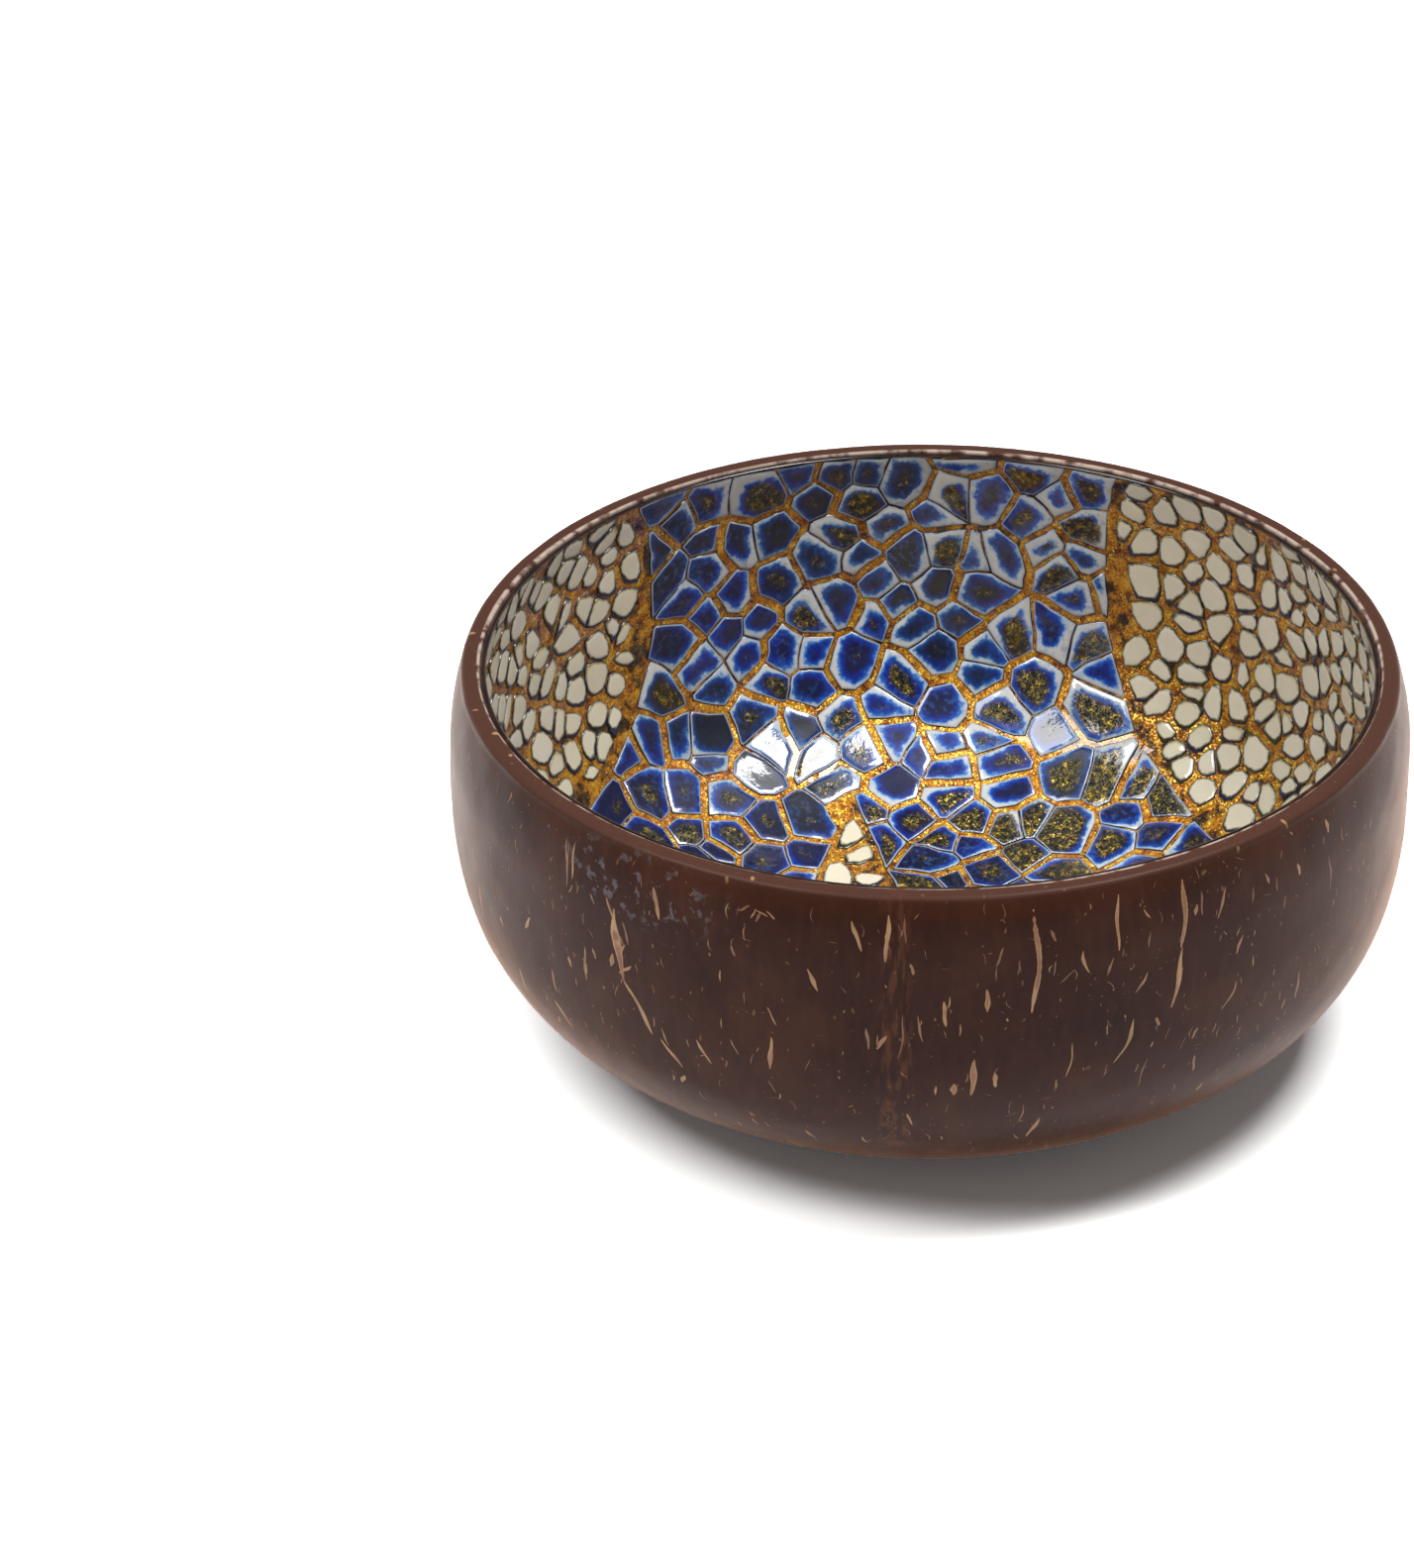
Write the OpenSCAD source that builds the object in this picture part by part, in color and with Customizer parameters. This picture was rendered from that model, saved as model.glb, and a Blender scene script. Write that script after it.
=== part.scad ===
// Bowl cut from a coconut shell, lined with a mosaic of crackled eggshell.
// Z is up, the flat base stands on z = 0 and the axis of the bowl is x = y = 0.
// Every wall, coat and piece takes its place from one curve: wall_curve(depth, top).

/* [Shell] */
// Height of the bowl from its base to the top of the rim
bowl_h = 55; // [45:1:70]
// Radius of the rim over its outer edge
rim_r = 64; // [54:1:76]
// How far the belly stands out past the rim
belly_out = 2; // [0.5:0.5:5]
// How far the widest place of the belly lies below the rim
belly_drop = 11.5; // [6:0.5:18]
// Radius of the flat that is sanded on the base
base_r = 30; // [20:1:40]
// Squareness of the belly below its widest place, where 2 is an ellipse
belly_power = 3.1; // [2.4:0.1:3.6]
// Thickness of the coconut shell
shell_t = 2.45; // [2:0.05:4]
// Rounding of the outer edge of the rim
rim_round_out = 0.9; // [0.4:0.1:1.2]
// Rounding of the inner edge of the rim
rim_round_in = 0.35; // [0.2:0.05:0.9]

/* [Lacquer] */
// Thickness of the gold ground lacquer on the inside of the shell
ground_t = 0.3; // [0.2:0.05:0.8]
// Thickness of the clear finishing coat
coat_t = 0.2; // [0.15:0.05:0.6]
// Hairline between one layer and the next
layer_gap = 0.05; // [0.03:0.01:0.1]
// Bare band of shell between the top of the rim and the ground lacquer
lining_drop = 0.65; // [0.65:0.05:2]

/* [Eggshell] */
// Thickness of the eggshell
egg_t = 0.3; // [0.2:0.05:0.45]
// Width across a group of pieces that one gold joint runs round
group_w = 10.6; // [7:0.2:14]
// Width across a blue piece
blue_w = 5.6; // [4.6:0.2:8]
// Width across a white pebble
white_w = 4; // [3.6:0.2:7]
// Gold joint between two groups of blue pieces
blue_joint = 0.85; // [0.4:0.05:2]
// Gold joint between two groups of white pebbles
white_joint = 0.8; // [0.4:0.05:2]
// Hairline crack between two pieces of one group
crack_w = 0.18; // [0.1:0.02:0.4]
// Gold joint along the border between blue and white
border_joint = 0.9; // [0.4:0.05:2]
// Smallest width at which a chip of eggshell is laid
chip_w = 1.4; // [1:0.1:2]

/* [Hidden] */

round_steps = 180;
belly_steps = 20;
rim_steps = 4;
arc_step = 15;
pebble_sides = 9;
pebble_power = 8;

belly_r = rim_r + belly_out;
belly_z = bowl_h - belly_drop;
rim_pull = belly_out / pow(belly_drop, 2);
belly_h = belly_z / pow(1 - pow(base_r / belly_r, belly_power), 1 / belly_power);

// Depths of the layers, measured inwards from the outside of the shell
ground_depth = shell_t + layer_gap;
egg_depth = ground_depth + ground_t + layer_gap;
coat_depth = egg_depth + egg_t + layer_gap;
coat_top = bowl_h - rim_round_in - layer_gap;
lining_top = bowl_h - lining_drop;
bed_depth = egg_depth + egg_t / 2;
punch_h = group_w / 2;

// Borders of the white areas in plan: shares of the rim radius, and their lean in x for each y
left_border_share = -0.941;
left_lean_share = 0.40;
right_border_share = 0.894;
right_lean_share = -0.54;
wedge_tip_share = [-0.176, 0.7];
wedge_left_lean_share = 0.235;
wedge_right_lean_share = -0.335;

// Areas of the mosaic by their number, and the sectors that the blue one is divided into
blue = 0;
white_left = 1;
white_right = 2;
white_front = 3;
on_floor = 0;
at_back = 1;
at_left = 2;
at_right = 3;
// Shares of the bed's area, counted from the axis, that end the blue floor and the white floor
blue_floor_share = 0.36;
white_floor_share = 0.52;

// Spread of the pieces about an even spacing, and the least spacing, as shares of their width
scatter_share = 0.38;
least_share = 0.62;
neighbour_share = 2.3;
// How much wider or narrower than the average one joint is, as a share of it
joint_spread_share = 0.5;
// The most that a piece claims from its neighbours, as a share of its width squared
claim_share = 0.32;
// A seat whose curve climbs less than this for each unit of its length counts as level
level_share = 0.1;

golden_turn = 180 * (3 - sqrt(5));
plastic_ratio = 0.7548776662;

function frac(x) = x - floor(x);
// Even but patternless number from 0 to 1 for piece i and purpose k
function chance(i, k) = frac(plastic_ratio * (i + k) * (i + 3 * k + 1));
function backwards(list) = [for (i = [len(list) - 1 : -1 : 0]) list[i]];
function unit(v) = v / norm(v);

// Radius above the belly of the curve that lies a given depth inside the outer one
function upper_r(depth, z) = belly_r - depth - rim_pull * pow(z - belly_z, 2);

// Curve from the axis up to a top edge, a given depth inside the outside of the shell
function wall_curve(depth, top) = [
    for (i = [belly_steps : -1 : 1])
        let (a = 90 * i / belly_steps)
        [(belly_r - depth) * pow(cos(a), 2 / belly_power),
         belly_z - (belly_h - depth) * pow(sin(a), 2 / belly_power)],
    for (i = [0 : rim_steps])
        let (z = belly_z + (top - belly_z) * i / rim_steps)
        [upper_r(depth, z), z],
];

// Curve on which the eggshell lies, with the area below each of its points
bed = wall_curve(bed_depth, lining_top);
bed_area = [
    for (i = 0, a = 0; i < len(bed); i = i + 1,
         a = i < len(bed) ? a + PI * (bed[i][0] + bed[i - 1][0]) * norm(bed[i] - bed[i - 1]) : a)
    a
];
bed_full = bed_area[len(bed) - 1];
bed_r_table = [for (i = [0 : len(bed) - 1]) [bed_area[i], bed[i][0]]];
bed_z_table = [for (i = [0 : len(bed) - 1]) [bed_area[i], bed[i][1]]];
function bed_r(a) = lookup(a, bed_r_table);
function bed_z(a) = lookup(a, bed_z_table);

// One seat for a piece: [place, azimuth, slope, area below, number, group]
function seat(i, count, w) =
    let (even = bed_full * (i + 1 / 2) / count,
         a_raw = even + scatter_share * w * (2 * chance(i, 1) - 1) * 2 * PI * bed_r(even),
         a = min(bed_full - bed_full / count / 4, abs(a_raw)),
         r = bed_r(a),
         spin = scatter_share * (2 * chance(i, 2) - 1) * min(1, w / max(r, w)),
         azimuth = golden_turn * i + spin * 180 / PI,
         step = bed_full / count / 2,
         low = max(0, a - step),
         high = min(bed_full, a + step),
         slope = atan2(bed_z(high) - bed_z(low), bed_r(high) - bed_r(low)))
    [[r * cos(azimuth), r * sin(azimuth), bed_z(a)], azimuth, slope, a, i, i];

// Seats over the whole bed, without those that lie too close to one with a lower number
function seats(w) =
    let (count = round(bed_full / pow(w, 2)),
         all = [for (i = [0 : count - 1]) seat(i, count, w)])
    [for (s = all)
        if (len([for (t = all) if (t[4] < s[4] && norm(t[0] - s[0]) < least_share * w) t]) == 0)
            s];

// The same seat as a member of the nearest group
function grouped(s, groups) =
    let (away = [for (g = groups) norm(g[0] - s[0])],
         nearest = groups[search(min(away), away)[0]])
    [s[0], s[1], s[2], s[3], s[4], nearest[4]];

// Directions on the bed at a seat: along the curve away from the axis, and round the bowl
function along(s) = [cos(s[2]) * cos(s[1]), cos(s[2]) * sin(s[1]), sin(s[2])];
function around(s) = [-sin(s[1]), cos(s[1]), 0];
function flat_on(s, v) = [v * along(s), v * around(s)];

// Signed distance in plan from a border line, positive to its right
function border(p, foot_x, foot_y, lean) =
    (p[0] - foot_x - lean * (p[1] - foot_y)) / norm([1, lean]);
function left_gap(p) = border(p, left_border_share * rim_r, 0, left_lean_share);
function right_gap(p) = border(p, right_border_share * rim_r, 0, right_lean_share);
wedge_tip = wedge_tip_share * rim_r;
function wedge_left_gap(p) = border(p, wedge_tip[0], wedge_tip[1], wedge_left_lean_share);
function wedge_right_gap(p) = border(p, wedge_tip[0], wedge_tip[1], wedge_right_lean_share);
function in_wedge(p) = p[1] < wedge_tip[1] && wedge_left_gap(p) > 0 && wedge_right_gap(p) < 0;

// Area of the mosaic that a place belongs to
function area_of(p) =
    left_gap(p) < 0 ? white_left :
    right_gap(p) > 0 ? white_right :
    in_wedge(p) ? white_front : blue;

// A border as a cutting line on the bed of a seat: [direction, reach]
function border_line(s, gap, lean) =
    let (side = gap < 0 ? 1 : -1,
         d = flat_on(s, side * unit([1, -lean, 0])))
    norm(d) * group_w < abs(gap) ? [] : [[unit(d), (abs(gap) - border_joint / 2) / norm(d)]];

// The lines that cut a piece at the borders near it and at the top of the lining
function border_lines(s) =
    let (p = s[0],
         zone = area_of(p),
         left = border_line(s, left_gap(p), left_lean_share),
         right = border_line(s, right_gap(p), right_lean_share),
         wedge_left = border_line(s, wedge_left_gap(p), wedge_left_lean_share),
         wedge_right = border_line(s, wedge_right_gap(p), wedge_right_lean_share),
         beside = wedge_left_gap(p) < -wedge_right_gap(p) ? wedge_left : wedge_right,
         rim_reach = (lining_top - p[2]) / max(sin(s[2]), level_share))
    concat(
        zone == white_left ? left :
        zone == white_right ? right :
        zone == white_front ? concat(wedge_left, wedge_right) :
        concat(left, right, p[1] < wedge_tip[1] ? beside : []),
        [[[1, 0], rim_reach - layer_gap]]
    );

// Width of the joint between two seats: a crack within a group, and a gold joint around it
function joint_between(s, t, joint) =
    s[5] == t[5] ? crack_w :
    joint * (1 + joint_spread_share * (2 * chance(s[4] + t[4], 9) - 1));

// The lines between a seat and its neighbours, less half of a joint. With v from the seat to
// its neighbour, the line lies at (|v|^2 + claim of the seat - claim of the neighbour) / (2 |v|)
function neighbour_lines(s, all, w, joint) = [
    for (t = all)
        let (v = t[0] - s[0])
        if (t[4] != s[4] && norm(v) < neighbour_share * w)
            let (d = flat_on(s, v),
                 claim = claim_share * pow(w, 2) * (chance(s[4], 3) - chance(t[4], 3)))
            [unit(d), (norm(d) + claim / norm(d) - joint_between(s, t, joint)) / 2]
];

// Part of a convex outline on the near side of one line, and of a list of lines
function cut(points, line) = [
    for (i = [0 : len(points) - 1])
        let (p = points[i],
             q = points[(i + 1) % len(points)],
             dp = line[1] - p * line[0],
             dq = line[1] - q * line[0])
        each concat(dp >= 0 ? [p] : [], dp * dq < 0 ? [p + (q - p) * dp / (dp - dq)] : [])
];
function cut_all(points, lines, i = 0) =
    i >= len(lines) || len(points) < 3 ? points : cut_all(cut(points, lines[i]), lines, i + 1);

// An outline without corners that lie too close to the one before
function cleaned(points) = [
    for (i = [0 : 1 : len(points) - 1])
        if (norm(points[i] - points[(i + 1) % len(points)]) > crack_w) points[i]
];

function middle(points) = [for (i = [0 : 1 : len(points) - 1]) 1] * points / max(1, len(points));
// Width of an outline across its middle where it is narrowest
function narrowest(points) =
    let (m = middle(points))
    2 * min([for (i = [0 : 1 : len(points) - 1])
        let (p = points[i],
             q = points[(i + 1) % len(points)],
             e = unit(q - p))
        abs((m - p)[0] * e[1] - (m - p)[1] * e[0])]);
function is_laid(points) = len(points) > 2 && narrowest(points) > chip_w;

// Outline of a blue piece, which has straight sides
function flake(s, all) =
    let (lines = concat(neighbour_lines(s, all, blue_w, blue_joint), border_lines(s)),
         piece = cleaned(cut_all([[1, 1], [-1, 1], [-1, -1], [1, -1]] * group_w, lines)))
    is_laid(piece) ? piece : [];

// Outline of a white pebble: its lines blended into one round curve
function pebble(s, all) =
    let (lines = concat(neighbour_lines(s, all, white_w, white_joint), border_lines(s)),
         least = min([for (l = lines) l[1]]))
    least < chip_w / 4 ? [] :
    [for (k = [0 : pebble_sides - 1])
        let (a = 360 * k / pebble_sides,
             u = [cos(a), sin(a)],
             pull = [for (l = lines) pow(max(0, u * l[0]) / l[1], pebble_power)],
             total = pull * [for (l = lines) 1])
        u / pow(max(total, pow(1 / white_w, pebble_power)), 1 / pebble_power)];

group_seats = seats(group_w);
blue_seats = [for (s = seats(blue_w)) if (area_of(s[0]) == blue) grouped(s, group_seats)];
white_seats = [for (s = seats(white_w)) if (area_of(s[0]) != blue) grouped(s, group_seats)];

module layer(depth, thick, top) {
    rotate_extrude($fn = round_steps)
        polygon(concat(wall_curve(depth, top), backwards(wall_curve(depth + thick, top))));
}

// Prism that stands across the layers at one seat, if its outline has an area
module punch(s, points) {
    if (len(points) > 2)
        translate(s[0])
            rotate([0, -s[2], s[1]])
                translate([0, 0, -punch_h / 2])
                    linear_extrude(punch_h)
                        polygon(points);
}

module white_pebbles(zone, from_share, to_share) {
    color("ivory")
        intersection() {
            layer(egg_depth, egg_t, lining_top);
            union()
                for (s = white_seats)
                    if (area_of(s[0]) == zone
                        && s[3] >= from_share * bed_full
                        && s[3] < to_share * bed_full)
                        punch(s, pebble(s, white_seats));
        }
}

// Sector of the blue area that a seat lies in
function sector_of(s) =
    s[3] < blue_floor_share * bed_full ? on_floor :
    s[0][1] > abs(s[0][0]) / 2 ? at_back :
    s[0][0] < 0 ? at_left : at_right;

module blue_pieces(sector) {
    color("mediumblue")
        intersection() {
            layer(egg_depth, egg_t, lining_top);
            union()
                for (s = blue_seats)
                    if (sector_of(s) == sector)
                        punch(s, flake(s, blue_seats));
        }
}

// Half of a coconut, sanded flat under the base and rounded at the rim
module shell() {
    outer_z = bowl_h - rim_round_out;
    inner_z = bowl_h - rim_round_in;
    outer = [for (p = wall_curve(0, outer_z)) if (p[1] > rim_round_out) p];
    outer_arc = [for (a = [arc_step : arc_step : 90])
        [upper_r(0, outer_z) - rim_round_out * (1 - cos(a)),
         outer_z + rim_round_out * sin(a)]];
    inner_arc = [for (a = [90 : -arc_step : arc_step])
        [upper_r(shell_t, inner_z) + rim_round_in * (1 - cos(a)),
         inner_z + rim_round_in * sin(a)]];
    color("saddlebrown")
        rotate_extrude($fn = round_steps)
            polygon(concat(
                [[0, 0], [base_r, 0]],
                outer,
                outer_arc,
                inner_arc,
                backwards(wall_curve(shell_t, inner_z))
            ));
}

module ground_lacquer() {
    color("goldenrod")
        layer(ground_depth, ground_t, lining_top);
}

// The coat closes over the edge of the lining and meets the bare band of shell
module clear_lacquer() {
    lip_z = lining_top + layer_gap;
    color("lightyellow", 0.4)
        rotate_extrude($fn = round_steps)
            polygon(concat(
                wall_curve(coat_depth, lip_z),
                [[upper_r(ground_depth, lip_z), lip_z],
                 [upper_r(ground_depth, coat_top), coat_top]],
                backwards(wall_curve(coat_depth + coat_t, coat_top))
            ));
}

module tesserae_white_left() { white_pebbles(white_left, 0, 1); }
module tesserae_white_right() { white_pebbles(white_right, 0, 1); }
module tesserae_white_front() { white_pebbles(white_front, white_floor_share, 1); }
module tesserae_white_floor() { white_pebbles(white_front, 0, white_floor_share); }
module tesserae_blue_floor() { blue_pieces(on_floor); }
module tesserae_blue_back() { blue_pieces(at_back); }
module tesserae_blue_left() { blue_pieces(at_left); }
module tesserae_blue_right() { blue_pieces(at_right); }

shell();
ground_lacquer();
clear_lacquer();
tesserae_white_left();
tesserae_white_right();
tesserae_white_front();
tesserae_white_floor();
tesserae_blue_floor();
tesserae_blue_back();
tesserae_blue_left();
tesserae_blue_right();
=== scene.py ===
"""A bowl cut from a coconut shell, lined with a mosaic of crackled eggshell in gold lacquer.

Every length is in millimetres until a mesh is made, and every surface takes its
place from one curve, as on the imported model.
"""

from __future__ import annotations

import logging
import math
from dataclasses import dataclass, field
from enum import IntEnum

import bpy
import numpy as np
from mathutils import Matrix, Vector

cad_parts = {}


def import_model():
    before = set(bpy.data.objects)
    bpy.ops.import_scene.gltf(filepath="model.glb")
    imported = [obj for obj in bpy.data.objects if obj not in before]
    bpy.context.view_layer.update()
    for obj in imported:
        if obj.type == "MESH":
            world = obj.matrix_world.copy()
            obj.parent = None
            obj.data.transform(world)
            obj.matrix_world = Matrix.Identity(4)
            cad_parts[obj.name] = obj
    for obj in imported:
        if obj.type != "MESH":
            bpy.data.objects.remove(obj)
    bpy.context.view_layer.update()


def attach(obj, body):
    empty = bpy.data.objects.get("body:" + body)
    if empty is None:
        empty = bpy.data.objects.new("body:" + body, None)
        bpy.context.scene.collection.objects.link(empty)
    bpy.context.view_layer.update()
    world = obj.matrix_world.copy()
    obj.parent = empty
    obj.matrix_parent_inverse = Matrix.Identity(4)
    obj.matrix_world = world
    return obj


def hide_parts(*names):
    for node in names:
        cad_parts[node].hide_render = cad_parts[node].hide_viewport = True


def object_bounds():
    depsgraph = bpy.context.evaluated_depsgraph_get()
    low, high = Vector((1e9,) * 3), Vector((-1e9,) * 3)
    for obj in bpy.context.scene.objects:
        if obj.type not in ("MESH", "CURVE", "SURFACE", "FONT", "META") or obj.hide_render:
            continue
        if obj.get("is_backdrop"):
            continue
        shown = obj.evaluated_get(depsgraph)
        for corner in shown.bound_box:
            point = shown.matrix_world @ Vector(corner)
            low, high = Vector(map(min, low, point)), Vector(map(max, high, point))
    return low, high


LOG = logging.getLogger("bowl")
MM = 0.001
BODY = "root"
GOLDEN_TURN = 180 * (3 - math.sqrt(5))
GOLDEN_SHARE = 0.6180339887
PLASTIC_RATIO = 0.7548776662

# How the nut's radius swells and dips round it: (share of the radius, waves, phase).
FORM_WAVES = ((0.0022, 3, 0.6), (0.0016, 5, 2.2))
FORM_SHRINK = 0.002
# What hand polishing left on the outside: (height, wave, seed), free above a height.
POLISH_WAVES = ((0.07, 23.0, 0.8), (0.035, 9.0, 3.1))
POLISH_FREE_Z = 4.0
# Three slanting directions of waves, and how far each wave is bent by another.
WAVE_TURNS = np.array([[1.0, 0.37, -0.62], [-0.48, 1.0, 0.55], [0.71, -0.66, 1.0]])
WAVE_PHASES = np.array([0.0, 2.1, 4.4])
WAVE_BEND = 1.3
WAVE_BEND_SHARE = 0.61
# The clear lacquer over every finish inside the bowl.
CLEAR_COAT = {"Coat Weight": 1.0, "Coat Roughness": 0.02, "Coat IOR": 1.5}

Array = np.ndarray
Socket = bpy.types.NodeSocket


class Area(IntEnum):
    """The areas of the mosaic."""

    BLUE = 0
    WHITE_LEFT = 1
    WHITE_RIGHT = 2
    WHITE_FRONT = 3


def linear(code: str) -> tuple[float, float, float, float]:
    """Turns an sRGB hex colour into linear red, green, blue and alpha.

    Args:
        code: the colour, such as "#b4761a".

    Returns:
        The linear colour with alpha 1.
    """
    parts = [int(code[i : i + 2], 16) / 255 for i in (1, 3, 5)]
    rgb = [c / 12.92 if c <= 0.04045 else ((c + 0.055) / 1.055) ** 2.4 for c in parts]
    return (rgb[0], rgb[1], rgb[2], 1.0)


def frac(x: Array) -> Array:
    """The part of each number behind its decimal point."""
    return x - np.floor(x)


def chance(i: Array, k: int) -> Array:
    """Patternless numbers from 0 to 1: the fraction of a quadratic in piece i and purpose k."""
    return frac(PLASTIC_RATIO * (i + k) * (i + 3 * k + 1))


def ripple(points: Array, wave: float, seed: float) -> Array:
    """Smooth patternless field from -1 to 1 over points: the mean of three slanting sines.

    Args:
        points: places in millimetres, the last axis x, y, z.
        wave: length of a wave in millimetres.
        seed: shifts the field.

    Returns:
        One number for each point.
    """
    phases = WAVE_PHASES + seed
    angles = points @ WAVE_TURNS.T * (2 * np.pi / wave) + phases
    bent = WAVE_BEND * np.sin(angles[..., ::-1] * WAVE_BEND_SHARE + seed)
    return np.sin(angles + bent).mean(-1)


@dataclass(frozen=True)
class WallCurve:
    """The curve that the shell and every coat follow, from the axis up to the rim.

    Below the widest place it is a superellipse, and above it a parabola that draws in.
    """

    height: float = 55.0
    rim_r: float = 64.0
    belly_out: float = 2.0
    belly_drop: float = 11.5
    base_r: float = 30.0
    power: float = 3.1

    @property
    def belly_r(self) -> float:
        """Largest radius."""
        return self.rim_r + self.belly_out

    @property
    def belly_z(self) -> float:
        """Height of the widest place."""
        return self.height - self.belly_drop

    @property
    def belly_h(self) -> float:
        """Half height of the superellipse, which the flat base cuts short."""
        share = (self.base_r / self.belly_r) ** self.power
        return self.belly_z / (1 - share) ** (1 / self.power)

    def upper_r(self, depth: float, z: Array) -> Array:
        """Radius above the widest place: it draws in with the square of the height."""
        pull = self.belly_out / self.belly_drop**2
        return self.belly_r - depth - pull * (z - self.belly_z) ** 2

    def points(self, depth: float, top: float, lower: int, upper: int) -> Array:
        """Points of the curve a given depth inside the outer one.

        Args:
            depth: distance inwards from the outside of the shell.
            top: height at which the curve ends.
            lower: number of steps below the widest place.
            upper: number of steps above it.

        Returns:
            An array of (radius, height) rows, from the axis to the top.
        """
        a = np.radians(90 * np.arange(lower, 0, -1) / lower)
        share = 2 / self.power
        r = (self.belly_r - depth) * np.clip(np.cos(a), 0, 1) ** share
        z = self.belly_z - (self.belly_h - depth) * np.sin(a) ** share
        r[0] = 0
        z2 = self.belly_z + (top - self.belly_z) * np.arange(upper + 1) / upper
        return np.column_stack([np.r_[r, self.upper_r(depth, z2)], np.r_[z, z2]])


@dataclass(frozen=True)
class Layers:
    """Depths of the layers, inwards from the outside of the shell."""

    shell_t: float = 2.45
    ground_depth: float = 2.5
    ground_top: float = 3.14
    bed_depth: float = 3.0
    tile_top: float = 3.38
    lining_drop: float = 0.65
    rim_round_out: float = 0.9
    rim_round_in: float = 0.35


CURVE = WallCurve()
LAYERS = Layers()
LINING_TOP = CURVE.height - LAYERS.lining_drop


def natural_form(points: Array) -> Array:
    """Draws a round form out of true, as a nut is: its radius swells and dips with the azimuth.

    The radius is scaled by 1 + the sum of share * cos(waves * azimuth + phase) - the shrink.

    Args:
        points: places in millimetres.

    Returns:
        The places moved by less than half a millimetre, none of them up or down.
    """
    azimuth = np.arctan2(points[..., 1], points[..., 0])
    swell = sum(share * np.cos(waves * azimuth + phase) for share, waves, phase in FORM_WAVES)
    moved = points.copy()
    moved[..., :2] *= (1 + swell - FORM_SHRINK)[..., None]
    return moved


def make_piece(
    name: str, points: Array, faces: Array | list, finish: bpy.types.Material, slot: str
) -> bpy.types.Object:
    """Makes a mesh object from points in millimetres and lets it ride on the bowl.

    Args:
        name: name of the piece.
        points: an array of places, one row each.
        faces: rows of point numbers.
        finish: its material.
        slot: the record's material slot; not used.

    Returns:
        The new object, smooth shaded.
    """
    mesh = bpy.data.meshes.new(name)
    rows = faces.tolist() if isinstance(faces, np.ndarray) else faces
    mesh.from_pydata((natural_form(points) * MM).tolist(), [], rows)
    mesh.polygons.foreach_set("use_smooth", np.ones(len(mesh.polygons), bool))
    mesh.materials.append(finish)
    mesh.update()
    piece = bpy.data.objects.new(name, mesh)
    bpy.context.scene.collection.objects.link(piece)
    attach(piece, BODY)
    LOG.info("%s: %d points, %d faces", name, len(points), len(rows))
    return piece


def set_floats(piece: bpy.types.Object, name: str, values: Array) -> None:
    """Stores one number for each point of a piece as an attribute."""
    layer = piece.data.attributes.new(name, "FLOAT", "POINT")
    layer.data.foreach_set("value", np.ascontiguousarray(values, np.float32).ravel())


def set_vectors(piece: bpy.types.Object, name: str, values: Array) -> None:
    """Stores three numbers for each point of a piece as an attribute."""
    layer = piece.data.attributes.new(name, "FLOAT_VECTOR", "POINT")
    layer.data.foreach_set("vector", np.ascontiguousarray(values, np.float32).ravel())


def revolve(profile: Array, steps: int) -> tuple[Array, list]:
    """Turns a profile that starts and ends on the axis into a closed surface.

    Row i of the grid is the profile's point i carried round the axis: x = r cos a,
    y = r sin a, z = z. The two points on the axis are single poles.

    Args:
        profile: (radius, height) rows from pole to pole, outside first.
        steps: number of columns.

    Returns:
        The points and the faces, which point to the profile's right-hand side.
    """
    ring = profile[1:-1]
    a = 2 * np.pi * np.arange(steps) / steps
    x = ring[:, :1] * np.cos(a)
    y = ring[:, :1] * np.sin(a)
    z = np.repeat(ring[:, 1:], steps, 1)
    grid = np.stack([x, y, z], -1).reshape(-1, 3)
    poles = np.array([[0, 0, profile[0, 1]], [0, 0, profile[-1, 1]]])
    rows, cols = np.meshgrid(np.arange(len(ring) - 1), np.arange(steps), indexing="ij")
    here = rows * steps + cols
    beside = rows * steps + (cols + 1) % steps
    quads = np.stack([here, beside, beside + steps, here + steps], -1).reshape(-1, 4)
    first, last = len(grid), len(grid) + 1
    c = np.arange(steps)
    end = (len(ring) - 1) * steps
    low = np.column_stack([np.full(steps, first), (c + 1) % steps, c])
    high = np.column_stack([np.full(steps, last), end + c, end + (c + 1) % steps])
    return np.vstack([grid, poles]), quads.tolist() + low.tolist() + high.tolist()


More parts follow.
